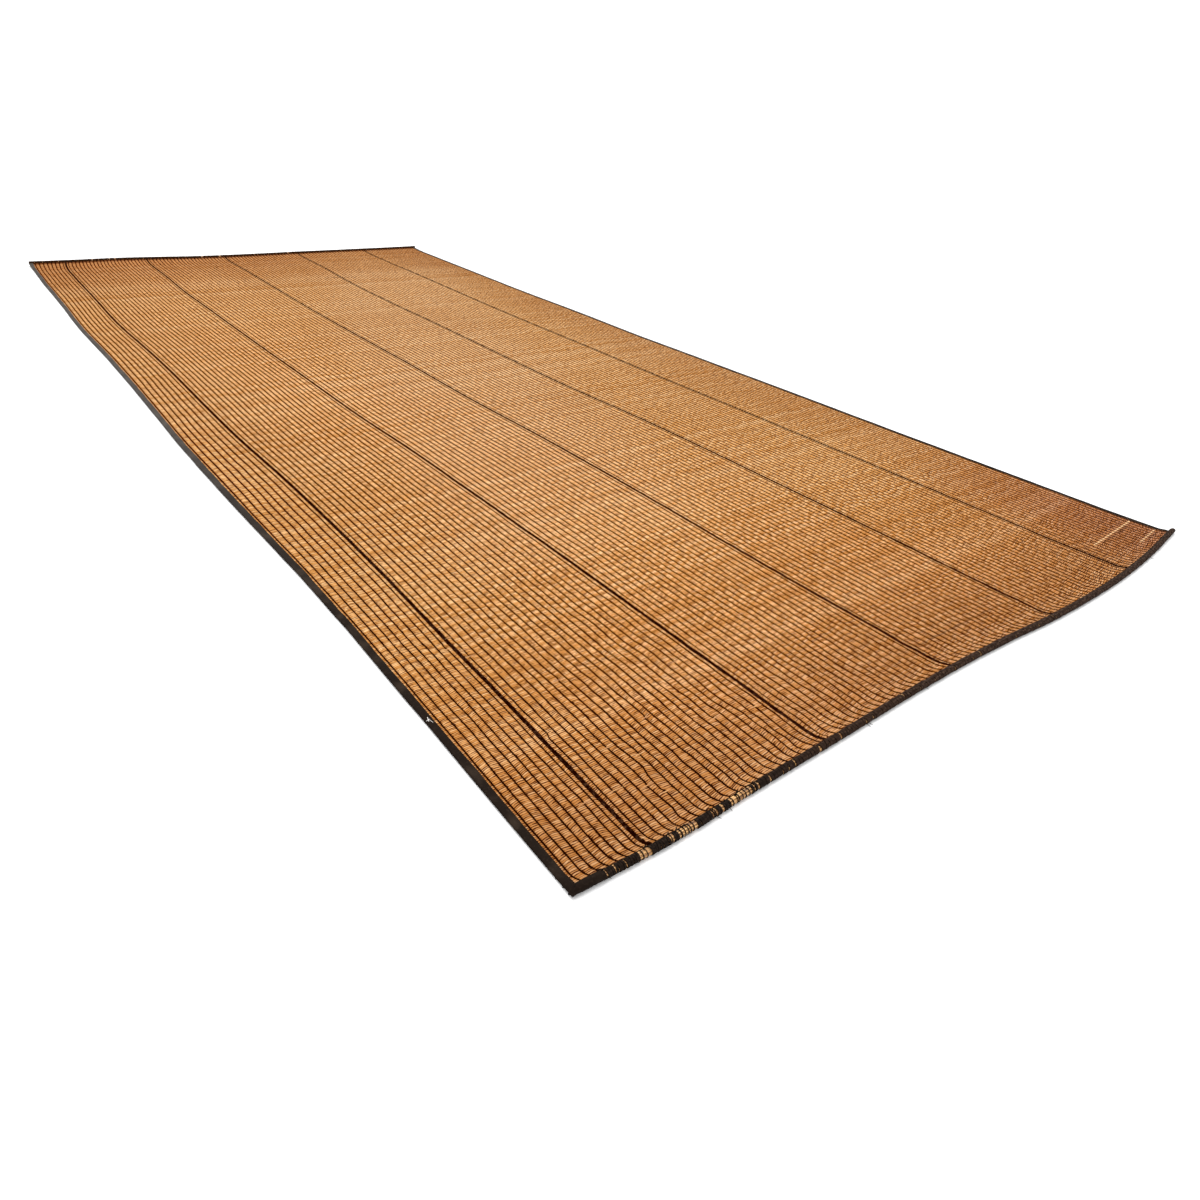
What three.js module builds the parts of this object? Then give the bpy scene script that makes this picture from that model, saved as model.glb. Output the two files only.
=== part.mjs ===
// Large reed floor mat: pale reeds lie across the width and dark leather thongs
// run along the length. The long sides are bound with folded leather, and the
// short sides end in a roll of reeds wound with leather.
//
// Millimetres, +Z up. "across" is measured from the left long side and "along"
// from the near short side, on the mat laid out square. place() then bends that
// plan as the mat really lies: a little bowed, its ends uneven, two corners up.

import * as THREE from 'three';

// Overall sizes
const WIDTH = 2800;
const LENGTH = 6100;

// Gap between pieces that touch, and the step of sections across the mat
const GAP = 0.3;
const STEP = 80;

// Reed field: height of the reeds over the floor at a crown and under a thong
const CROWN = 5.6;
const VALLEY = 4.2;
const THICK_VALLEY = 3.6;
const EDGE_HEIGHT = 4.9;

// Thong rows
const FINE_ROWS_LEFT = 8;
const FINE_ROWS_PANEL = 23;
const FINE_ROWS_RIGHT = 20;
const FIRST_FINE_ROW = 28;
const LAST_FINE_ROW = 2774;
const THICK_ROWS = [197, 716, 1247, 1785, 2328];
const THICK_ROW_WIDTH = 8;
const THICK_ROW_HEIGHT = 2.2;
const THICK_ROW_SHOULDER = 1.3;
const BESIDE_THICK_ROW = 15.5;
const SIDE_CLEARANCE = 0.5;

// Folded leather along the long sides
const LEATHER = 1.6;
const UPPER_FLAP = 20;
const LOWER_FLAP = 18;
const FLAP_TAPER = 3;
const FOLD_ROUND = 2;
const UNDERSIDE_RAMP = 28;
const MITRE_INSET = 0.5;

// Roll of reeds along each short side, and the leather wound round it
const ROLL = 19;
const WOUND_LEATHER = 1.5;
const ROLL_SIDES = 8;
const WOUND_SWELL = 0.5;
const SWELL_PHASE = 1.7;
const REEDS_START = ROLL + 1;
const BUNDLE_INSET = 2;
const TIP_OVERHANG = 30;

// How high the reeds climb on to each roll, and over what length
const NEAR_CLIMB = { height: 5, length: 32 };
const FAR_CLIMB = { height: 2, length: 25 };

// Curled corners: rise at the corner and how far the curl reaches
const FAR_LEFT_CURL = { rise: 10, across: 2000, along: 320 };
const NEAR_RIGHT_CURL = { rise: 4, across: 400, along: 300 };

// Sideways shift of the last reeds at the far side
const FAR_SHIFT = 20;

// Reach of the uneven short sides into the mat
const NEAR_WAVE_REACH = 800;
const FAR_WAVE_REACH = 1500;

// How far the left side, the thick rows and the right side stray across the mat
const LONG_LINES = [
  { along: 0, left: -2, row1: -10, row2: 7, row3: 10, row4: -10, row5: -12, right: -16 },
  { along: 250, left: 1, row1: -8, row2: 9, row3: 0, row4: -10, row5: -21, right: -19 },
  { along: 610, left: 5, row1: 1, row2: 7, row3: 0, row4: -1, row5: -19, right: -23 },
  { along: 1220, left: 8, row1: 12, row2: 7, row3: 6, row4: 2, row5: -20, right: -29 },
  { along: 1830, left: -7, row1: 10, row2: 1, row3: 4, row4: 1, row5: -23, right: -30 },
  { along: 2440, left: -15, row1: -6, row2: -19, row3: -17, row4: -30, row5: -28, right: -35 },
  { along: 3050, left: -10, row1: -6, row2: -24, row3: -19, row4: -35, row5: -30, right: -42 },
  { along: 3660, left: -10, row1: -13, row2: -32, row3: -29, row4: -41, row5: -33, right: -30 },
  { along: 4270, left: -19, row1: -30, row2: -34, row3: -36, row4: -49, row5: -26, right: -33 },
  { along: 4880, left: -11, row1: -21, row2: -39, row3: -31, row4: -42, row5: -13, right: -19 },
  { along: 5490, left: -9, row1: -14, row2: -23, row3: -24, row4: -14, row5: -5, right: -5 },
  { along: 6100, left: 4, row1: -3, row2: -23, row3: -28, row4: -9, row5: 3, right: 7 },
];
const LINES = [
  { name: 'left', across: 0 },
  ...THICK_ROWS.map((across, i) => ({ name: `row${i + 1}`, across })),
  { name: 'right', across: WIDTH },
];

// How far the near and the far short sides stray along the mat
const SHORT_SIDES = [
  { across: 0, near: -8, far: -95 },
  { across: 255, near: -23, far: -85 },
  { across: 509, near: -21, far: -65 },
  { across: 764, near: -23, far: -75 },
  { across: 1018, near: -23, far: -98 },
  { across: 1273, near: -27, far: -98 },
  { across: 1527, near: -39, far: -86 },
  { across: 1782, near: -58, far: -68 },
  { across: 2036, near: -66, far: -62 },
  { across: 2291, near: -63, far: -52 },
  { across: 2545, near: -47, far: -44 },
  { across: 2800, near: -20, far: -30 },
];

// Stretches of the near roll that still carry their leather
const NEAR_WRAPS = [
  { name: 'near_corner_patch', from: 0, to: 80 },
  { name: 'near_wrap_1', from: 81, to: 162 },
  { name: 'near_wrap_2', from: 190, to: 237 },
  { name: 'near_wrap_3', from: 248, to: 268 },
  { name: 'near_wrap_4', from: 308, to: 349 },
  { name: 'near_wrap_5', from: 363, to: 402 },
  { name: 'near_wrap_6', from: 466, to: WIDTH + TIP_OVERHANG },
];

// The same for the far roll
const FAR_WRAPS = [
  { name: 'far_wrap_1', from: 0, to: 359 },
  { name: 'far_wrap_2', from: 371, to: 470 },
  { name: 'far_wrap_3', from: 480, to: 504 },
  { name: 'far_wrap_4', from: 516, to: 1078 },
  { name: 'far_wrap_5', from: 1092, to: 1203 },
  { name: 'far_wrap_6', from: 1217, to: 1704 },
  { name: 'far_wrap_7', from: 1718, to: WIDTH },
];

// Places along the mat where its sections are taken
const STATIONS = [
  REEDS_START, 45, 78, 300, 700, 1300, 1950, 2600, 3250, 3900, 4550, 5200, 5720,
  LENGTH - 160, LENGTH - 78, LENGTH - 45, LENGTH - REEDS_START,
];

// Smooth value of one column of a table whose rows are sorted by `key`
function fromTable(table, key, column, at) {
  const last = table.length - 1;
  const place = Math.min(Math.max(at, table[0][key]), table[last][key]);
  let row = 0;
  while (row < last - 1 && table[row + 1][key] < place) {
    row += 1;
  }
  const slope = (i) => {
    const before = table[Math.max(i - 1, 0)];
    const after = table[Math.min(i + 1, last)];
    return (after[column] - before[column]) / (after[key] - before[key]);
  };
  const step = table[row + 1][key] - table[row][key];
  const u = (place - table[row][key]) / step;
  const rest = 1 - u;
  return table[row][column] * (1 + 2 * u) * rest * rest
    + table[row + 1][column] * (3 - 2 * u) * u * u
    + step * (slope(row) * u * rest * rest - slope(row + 1) * rest * u * u);
}

// 1 at the start of a reach, falling smoothly to 0 at its end
function fade(distance, reach) {
  const left = Math.min(Math.max(1 - distance / reach, 0), 1);
  return left * left;
}

// What varies across the mat runs straight between places one step apart, so
// that pieces with sections at different places still follow the same line
function stepped(value, across) {
  const before = Math.floor(across / STEP) * STEP;
  const u = (across - before) / STEP;
  return value(before) * (1 - u) + value(before + STEP) * u;
}

// How far a place lies to the right of the plan, straight from one line to the next
function stray(across, along) {
  const at = Math.min(Math.max(across, 0), WIDTH);
  const next = Math.max(LINES.findIndex((line) => line.across >= at), 1);
  const [before, after] = [LINES[next - 1], LINES[next]];
  const u = (at - before.across) / (after.across - before.across);
  return fromTable(LONG_LINES, 'along', before.name, along) * (1 - u)
    + fromTable(LONG_LINES, 'along', after.name, along) * u;
}

function lift(across, along) {
  const farCurl = (at) => FAR_LEFT_CURL.rise * fade(at, FAR_LEFT_CURL.across);
  const nearCurl = (at) => NEAR_RIGHT_CURL.rise * fade(WIDTH - at, NEAR_RIGHT_CURL.across);
  return stepped(farCurl, across) * fade(LENGTH - along, FAR_LEFT_CURL.along)
    + stepped(nearCurl, across) * fade(along, NEAR_RIGHT_CURL.along);
}

// From the square plan to the mat as it lies
function place(across, along, height) {
  const x = across
    + stepped((at) => stray(at, along), across)
    + FAR_SHIFT * fade(LENGTH - along, FAR_LEFT_CURL.along);
  const nearWave = (at) => fromTable(SHORT_SIDES, 'across', 'near', at);
  const farWave = (at) => fromTable(SHORT_SIDES, 'across', 'far', at);
  const y = along
    + stepped(nearWave, across) * fade(along, NEAR_WAVE_REACH)
    + stepped(farWave, across) * fade(LENGTH - along, FAR_WAVE_REACH);
  return new THREE.Vector3(x, y, height + lift(across, along));
}

// The reeds climb on to the roll at both short sides
function climb(along) {
  const { height, length } = along < LENGTH / 2 ? NEAR_CLIMB : FAR_CLIMB;
  const fromRoll = Math.min(along, LENGTH - along) - REEDS_START;
  const u = Math.min(Math.max(1 - fromRoll / length, 0), 1);
  return height * u * u * (3 - 2 * u);
}

// Collects points and triangles, and gives a closed body facing outwards
class Body {
  constructor() {
    this.points = [];
    this.faces = [];
  }

  add(point) {
    this.points.push(point);
    return this.points.length - 1;
  }

  triangle(a, b, c) {
    this.faces.push([a, b, c]);
  }

  quad(a, b, c, d) {
    this.triangle(a, b, c);
    this.triangle(a, c, d);
  }

  // Quads between runs of points, all split along the same diagonal
  grid(runs, { closed = false, turned = false } = {}) {
    const width = runs[0].length;
    const across = closed ? width : width - 1;
    for (let k = 0; k < runs.length - 1; k += 1) {
      for (let j = 0; j < across; j += 1) {
        const next = (j + 1) % width;
        const [a, b, c, d] = [runs[k][j], runs[k][next], runs[k + 1][next], runs[k + 1][j]];
        if (turned) {
          this.triangle(a, c, b);
          this.triangle(a, d, c);
        } else {
          this.quad(a, b, c, d);
        }
      }
    }
  }

  // A band of triangles between two runs of points, in step with their length
  band(lower, upper) {
    const [low, up] = [lower, upper].map((run) => run.map((i) => this.points[i].x));
    let i = 0;
    let j = 0;
    while (i < lower.length - 1 || j < upper.length - 1) {
      const moveLower = j === upper.length - 1
        || (i < lower.length - 1 && low[i + 1] <= up[j + 1]);
      if (moveLower) {
        this.triangle(lower[i], lower[i + 1], upper[j]);
        i += 1;
      } else {
        this.triangle(lower[i], upper[j + 1], upper[j]);
        j += 1;
      }
    }
  }

  volume() {
    const sum = this.faces.reduce((total, [a, b, c]) => {
      const cross = this.points[b].clone().cross(this.points[c]);
      return total + this.points[a].dot(cross);
    }, 0);
    return sum / 6;
  }

  geometry() {
    const inside = this.volume() < 0;
    const faces = inside ? this.faces.map(([a, b, c]) => [a, c, b]) : this.faces;
    const geometry = new THREE.BufferGeometry().setFromPoints(this.points);
    geometry.setIndex(faces.flat());
    geometry.computeVertexNormals();
    return geometry;
  }
}

// A body through like sections, given as rows of points, with flat end caps
function loft(sections, outline) {
  const body = new Body();
  const rings = sections.map((section) => section.map((point) => body.add(point)));
  body.grid(rings, { closed: true });
  const first = rings[0];
  const last = rings[rings.length - 1];
  THREE.ShapeUtils.triangulateShape(outline, []).forEach(([a, b, c]) => {
    body.triangle(first[a], first[c], first[b]);
    body.triangle(last[a], last[b], last[c]);
  });
  return body.geometry();
}

// Places of all thong rows across the mat, thick ones marked
function thongRows() {
  const rows = [];
  const spaced = (from, to, count) => {
    for (let i = 0; i < count; i += 1) {
      rows.push({ across: from + ((to - from) * i) / (count - 1), thick: false });
    }
  };
  spaced(FIRST_FINE_ROW, THICK_ROWS[0] - BESIDE_THICK_ROW, FINE_ROWS_LEFT);
  THICK_ROWS.forEach((across, i) => {
    rows.push({ across, thick: true });
    const isLast = i === THICK_ROWS.length - 1;
    const end = isLast ? LAST_FINE_ROW : THICK_ROWS[i + 1] - BESIDE_THICK_ROW;
    spaced(across + BESIDE_THICK_ROW, end, isLast ? FINE_ROWS_RIGHT : FINE_ROWS_PANEL);
  });
  return rows;
}

// Upper outline of the reed field across the mat: a crown between all rows
function fieldProfile() {
  const inset = LEATHER + GAP;
  const profile = [
    { across: inset, height: EDGE_HEIGHT },
    { across: UPPER_FLAP + SIDE_CLEARANCE, height: EDGE_HEIGHT },
  ];
  let before = UPPER_FLAP;
  thongRows().forEach(({ across, thick }) => {
    profile.push({ across: (before + across) / 2, height: CROWN });
    if (thick) {
      const half = THICK_ROW_WIDTH / 2 + SIDE_CLEARANCE;
      profile.push({ across: across - half, height: THICK_VALLEY });
      profile.push({ across: across + half, height: THICK_VALLEY });
    } else {
      profile.push({ across, height: VALLEY });
    }
    before = across;
  });
  profile.push({ across: WIDTH - inset, height: EDGE_HEIGHT });
  return profile;
}

// Underside of the field: flat on the floor, raised over the lower flaps
function undersideProfile() {
  const raised = LEATHER + GAP;
  const flapEnd = LOWER_FLAP + 2;
  const floorStart = flapEnd + UNDERSIDE_RAMP;
  const level = [...stepsBetween(floorStart, WIDTH - floorStart), ...THICK_ROWS];
  return [
    { across: raised, height: raised },
    { across: flapEnd, height: raised },
    ...level.sort((a, b) => a - b).map((across) => ({ across, height: 0 })),
    { across: WIDTH - flapEnd, height: raised },
    { across: WIDTH - raised, height: raised },
  ];
}

function reedField() {
  const body = new Body();
  const top = fieldProfile();
  const under = undersideProfile();
  const topRuns = STATIONS.map((along) => top.map(
    ({ across, height }) => body.add(place(across, along, height + climb(along))),
  ));
  const underRuns = STATIONS.map((along) => under.map(
    ({ across, height }) => body.add(place(across, along, height)),
  ));
  body.grid(topRuns);
  body.grid(underRuns, { turned: true });
  body.grid(topRuns.map((run, k) => [underRuns[k][0], run[0]]));
  body.grid(topRuns.map((run, k) => [run.at(-1), underRuns[k].at(-1)]));
  body.band(underRuns[0], topRuns[0]);
  body.band(topRuns.at(-1), underRuns.at(-1));
  return body.geometry();
}

// Thick row: a flat strip of leather lying in its valley, crowned on top
function thickRow(across) {
  const half = THICK_ROW_WIDTH / 2;
  const floor = THICK_VALLEY + GAP;
  const outline = [
    new THREE.Vector2(-half, floor),
    new THREE.Vector2(half, floor),
    new THREE.Vector2(half, floor + THICK_ROW_SHOULDER),
    new THREE.Vector2(0, floor + THICK_ROW_HEIGHT),
    new THREE.Vector2(-half, floor + THICK_ROW_SHOULDER),
  ];
  const sections = STATIONS.map((along) => outline.map(
    (point) => place(across + point.x, along, point.y + climb(along)),
  ));
  return loft(sections, outline);
}

// Section of the folded strip: x from the mat's edge inwards, y over the floor
function bindingOutline(opening) {
  return [
    new THREE.Vector2(0, 0),
    new THREE.Vector2(LOWER_FLAP, 0),
    new THREE.Vector2(LOWER_FLAP, LEATHER),
    new THREE.Vector2(LEATHER, LEATHER),
    new THREE.Vector2(LEATHER, opening),
    new THREE.Vector2(UPPER_FLAP, opening),
    new THREE.Vector2(UPPER_FLAP, opening + LEATHER / 2),
    new THREE.Vector2(UPPER_FLAP - FLAP_TAPER, opening + LEATHER),
    new THREE.Vector2(FOLD_ROUND, opening + LEATHER),
    new THREE.Vector2(0, opening),
  ];
}

// Folded leather strip along a long side; the left one has mitred ends
function binding(isLeft) {
  const opening = (along) => EDGE_HEIGHT + GAP + climb(along);
  const section = (along) => bindingOutline(opening(along)).map((point) => (
    place(isLeft ? point.x : WIDTH - point.x, along, point.y)
  ));
  const mitred = (isNear) => bindingOutline(opening(REEDS_START)).map((point) => {
    const along = point.x - MITRE_INSET;
    return place(point.x, isNear ? along : LENGTH - along, point.y);
  });
  const sections = STATIONS.map(section);
  if (isLeft) {
    sections.unshift(mitred(true));
    sections.push(mitred(false));
  }
  return loft(sections, bindingOutline(opening(LENGTH / 2)));
}

// Points round a roll, level below: `half` is half its thickness
function rollOutline(half) {
  const corner = half / Math.cos(Math.PI / ROLL_SIDES);
  return Array.from({ length: ROLL_SIDES }, (_, j) => {
    const angle = (2 * Math.PI * (j + 0.5)) / ROLL_SIDES;
    return new THREE.Vector2(corner * Math.cos(angle), corner * Math.sin(angle));
  });
}

// Two places across the mat, and every whole step between them
function stepsBetween(from, to) {
  const first = Math.floor(from / STEP) + 1;
  const count = Math.max(0, Math.ceil(to / STEP) - first);
  return [from, ...Array.from({ length: count }, (_, k) => (first + k) * STEP), to];
}

// Puts a point of a roll's section on the near or the far short side
function onRoll(isNear, across, point, swell = 0) {
  const distance = ROLL / 2 + point.x;
  const height = ROLL / 2 + point.y + (point.y > 0 ? swell : 0);
  return place(across, isNear ? distance : LENGTH - distance, height);
}

// Bundle of reeds inside the roll
function rollReeds(isNear, from, to) {
  const outline = rollOutline(ROLL / 2 - WOUND_LEATHER - GAP);
  const sections = stepsBetween(from, to).map((across) => outline.map(
    (point) => onRoll(isNear, across, point),
  ));
  return loft(sections, outline);
}

// Leather wound round the roll: a tube, mitred where it meets the left binding
function rollWrap(isNear, from, to) {
  const outer = rollOutline(ROLL / 2);
  const inner = rollOutline(ROLL / 2 - WOUND_LEATHER);
  const places = stepsBetween(from, to);
  const body = new Body();
  const tube = (outline, swells) => places.map((across, k) => outline.map((point) => {
    const mitred = from === 0 && k === 0;
    const start = mitred ? ROLL / 2 + point.x + 2 * MITRE_INSET : 0;
    const swell = swells ? WOUND_SWELL * (1 + Math.sin(SWELL_PHASE * k + from)) : 0;
    return body.add(onRoll(isNear, across + start, point, swell));
  }));
  const outside = tube(outer, true);
  const inside = tube(inner, false);
  body.grid(outside, { closed: true });
  body.grid(inside, { closed: true, turned: true });
  body.grid([inside[0], outside[0]], { closed: true });
  body.grid([outside.at(-1), inside.at(-1)], { closed: true });
  return body.geometry();
}

// Materials
const reedMaterial = () => new THREE.MeshStandardMaterial({
  color: 0xc08a50,
  roughness: 0.7,
  metalness: 0,
});
const leatherMaterial = () => new THREE.MeshStandardMaterial({
  color: 0x2b1c17,
  roughness: 0.6,
  metalness: 0,
});

function named(name, geometry, material) {
  const mesh = new THREE.Mesh(geometry, material);
  mesh.name = name;
  return mesh;
}

function buildMat() {
  const mat = new THREE.Group();
  mat.add(named('reed_field', reedField(), reedMaterial()));
  THICK_ROWS.forEach((across, i) => {
    mat.add(named(`thick_row_${i + 1}`, thickRow(across), leatherMaterial()));
  });
  mat.add(named('left_binding', binding(true), leatherMaterial()));
  mat.add(named('right_binding', binding(false), leatherMaterial()));
  const start = ROLL + BUNDLE_INSET;
  const nearReeds = rollReeds(true, start, WIDTH + TIP_OVERHANG - BUNDLE_INSET);
  const farReeds = rollReeds(false, start, WIDTH - BUNDLE_INSET);
  mat.add(named('near_end_reeds', nearReeds, reedMaterial()));
  mat.add(named('far_end_reeds', farReeds, reedMaterial()));
  NEAR_WRAPS.forEach(({ name, from, to }) => {
    mat.add(named(name, rollWrap(true, from, to), leatherMaterial()));
  });
  FAR_WRAPS.forEach(({ name, from, to }) => {
    mat.add(named(name, rollWrap(false, from, to), leatherMaterial()));
  });
  return mat;
}

// Origin at the bottom centre of the whole mat
const mat = buildMat();
const bounds = new THREE.Box3().setFromObject(mat);
const centre = bounds.getCenter(new THREE.Vector3());
mat.position.set(-centre.x, -centre.y, -bounds.min.z);
mat.updateMatrixWorld(true);

export default mat;
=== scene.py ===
"""Looks of a large reed floor mat with leather thongs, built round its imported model.

Reeds lie across the mat and dark thongs run along it. Every piece is first made on the plan of the mat
laid out square, with "across" measured from the left long side and "along" from the near short side. It
is then laid down as the mat really lies: a little bowed, its ends uneven and two corners up. Sizes are
metres.
"""

import logging
import math
from dataclasses import dataclass
from enum import Enum
from functools import partialmethod

import bpy
import numpy as np
from mathutils import Matrix, Vector


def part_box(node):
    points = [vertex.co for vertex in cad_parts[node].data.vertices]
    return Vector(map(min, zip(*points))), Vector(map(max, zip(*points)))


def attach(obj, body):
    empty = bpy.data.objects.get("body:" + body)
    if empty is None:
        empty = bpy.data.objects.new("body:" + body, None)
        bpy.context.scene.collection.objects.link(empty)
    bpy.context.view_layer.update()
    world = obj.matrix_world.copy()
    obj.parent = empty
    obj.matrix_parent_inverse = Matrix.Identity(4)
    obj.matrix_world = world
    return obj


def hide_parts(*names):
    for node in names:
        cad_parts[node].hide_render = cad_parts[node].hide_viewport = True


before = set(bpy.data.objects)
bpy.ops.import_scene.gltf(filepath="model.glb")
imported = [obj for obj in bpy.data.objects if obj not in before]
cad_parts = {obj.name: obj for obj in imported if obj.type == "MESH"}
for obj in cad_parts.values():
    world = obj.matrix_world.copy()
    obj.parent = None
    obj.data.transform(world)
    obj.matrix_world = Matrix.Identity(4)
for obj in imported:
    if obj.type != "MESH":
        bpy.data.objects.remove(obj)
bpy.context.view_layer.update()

BODY = "root"
MM = 0.001

# Angles in degrees up to which a piece is shaded smooth
SHEET_ANGLE = 60.0
THONG_ANGLE = 50.0
ROUND_ANGLE = 70.0

# Distance on a unit sheet that counts as none
NEARLY = 1e-6

Array = np.ndarray
Piece = bpy.types.Object
Socket = bpy.types.NodeSocket

log = logging.getLogger("reed_mat")


class Side(Enum):
    """One of the two long sides."""

    LEFT = "left"
    RIGHT = "right"


class End(Enum):
    """One of the two short sides."""

    NEAR = "near"
    FAR = "far"


class Tone(Enum):
    """Colours of marks on the mat."""

    STAIN = (0.035, 0.014, 0.008)
    PALE_REED = (0.80, 0.50, 0.26)
    LINT = (0.75, 0.72, 0.68)
    SEAM = (0.001, 0.001, 0.001)


class Ripple:
    """Smooth seeded unevenness over two directions, from -1 to 1."""

    CELLS = 256

    def __init__(self, seed: int) -> None:
        """Draws the table of heights from the seed."""
        self.heights = np.random.default_rng(seed).uniform(-1.0, 1.0, (self.CELLS, self.CELLS))

    def at(self, first: Array | float, second: Array | float) -> Array:
        """Reads the unevenness at places given in units of its waves.

        Args:
            first: Places along the first direction.
            second: Places along the second direction.

        Returns:
            One value for each place.
        """
        first, second = np.broadcast_arrays(np.asarray(first, float), np.asarray(second, float))
        row, column = np.floor(first).astype(int), np.floor(second).astype(int)
        s, t = first - row, second - column
        s, t = s * s * (3 - 2 * s), t * t * (3 - 2 * t)
        size = self.CELLS

        def corner(i: int, j: int) -> Array:
            """Height of the table one step on in either direction."""
            return self.heights[(row + i) % size, (column + j) % size]

        before = corner(0, 0) * (1 - s) + corner(1, 0) * s
        after = corner(0, 1) * (1 - s) + corner(1, 1) * s
        return before * (1 - t) + after * t


def smooth_step(value: Array) -> Array:
    """Eases a value from 0 to 1, flat outside that range."""
    held = np.clip(value, 0.0, 1.0)
    return held * held * (3 - 2 * held)


def fade(distance: Array, reach: float) -> Array:
    """1 at the start of a reach, falling smoothly to 0 at its end."""
    return np.clip(1 - np.asarray(distance) / reach, 0.0, 1.0) ** 2


def smooth_table(places: Array, values: Array, at: Array) -> Array:
    """Smooth curve through the rows of a table.

    Args:
        places: Rising places of the rows.
        values: The value in each row.
        at: Where the curve is wanted.

    Returns:
        The value at each wanted place.
    """
    count = len(places)
    before = np.maximum(np.arange(count) - 1, 0)
    after = np.minimum(np.arange(count) + 1, count - 1)
    slopes = (values[after] - values[before]) / (places[after] - places[before])
    at = np.clip(at, places[0], places[-1])
    row = np.clip(np.searchsorted(places, at, side="right") - 1, 0, count - 2)
    step = places[row + 1] - places[row]
    u = (at - places[row]) / step
    rest = 1 - u
    ends = values[row] * (1 + 2 * u) * rest**2 + values[row + 1] * (3 - 2 * u) * u**2
    return ends + step * (slopes[row] * u * rest**2 - slopes[row + 1] * rest * u**2)


@dataclass(frozen=True)
class Plan:
    """Sizes of the mat laid out square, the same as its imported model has."""

    width: float = 2.8
    length: float = 6.1
    gap: float = 0.0003
    thick_rows: tuple[float, ...] = (0.197, 0.716, 1.247, 1.785, 2.328)
    fine_rows: tuple[int, ...] = (8, 23, 23, 23, 23, 20)
    first_fine_row: float = 0.028
    last_fine_row: float = 2.774
    beside_thick_row: float = 0.0155
    crown: float = 0.0056
    fine_valley: float = 0.0042
    thick_valley: float = 0.0036
    edge_height: float = 0.0049
    leather: float = 0.0016
    upper_flap: float = 0.020
    lower_flap: float = 0.018
    roll: float = 0.019
    wound_leather: float = 0.0015
    reeds_start: float = 0.020
    near_climb: tuple[float, float] = (0.005, 0.032)
    far_climb: tuple[float, float] = (0.002, 0.025)
    tip_overhang: float = 0.030

    @property
    def edge_inset(self) -> float:
        """Distance from a long side to the reeds inside its folded leather."""
        return self.leather + self.gap

    def lines(self) -> Array:
        """Places across the mat of its left edge, all thong rows and its right edge."""
        starts = [self.first_fine_row, *(row + self.beside_thick_row for row in self.thick_rows)]
        ends = [*(row - self.beside_thick_row for row in self.thick_rows), self.last_fine_row]
        panels = [np.linspace(*ends_and_count) for ends_and_count in zip(starts, ends, self.fine_rows)]
        rows = np.concatenate([*panels, self.thick_rows])
        return np.array([self.edge_inset, *np.sort(rows), self.width - self.edge_inset])

    def thick_lines(self) -> list[int]:
        """Numbers of the thick rows among the lines."""
        lines = self.lines()
        return [int(np.argmin(np.abs(lines - row))) for row in self.thick_rows]

    def climb(self, along: Array) -> Array:
        """How far the reeds have climbed on to the roll at either short side.

        Args:
            along: Place along the mat.

        Returns:
            One height for each place.
        """
        is_near = along < self.length / 2
        height, length = (np.where(is_near, *pair) for pair in zip(self.near_climb, self.far_climb))
        from_roll = np.minimum(along, self.length - along) - self.reeds_start
        return height * smooth_step(1 - from_roll / length)


@dataclass(frozen=True)
class Curl:
    """A corner that curls up."""

    rise: float
    across: float
    along: float

    def lift(self, from_side: Array, from_end: Array) -> Array:
        """How far it lifts places at these distances from its two sides."""
        return self.rise * fade(from_side, self.across) * fade(from_end, self.along)


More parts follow.
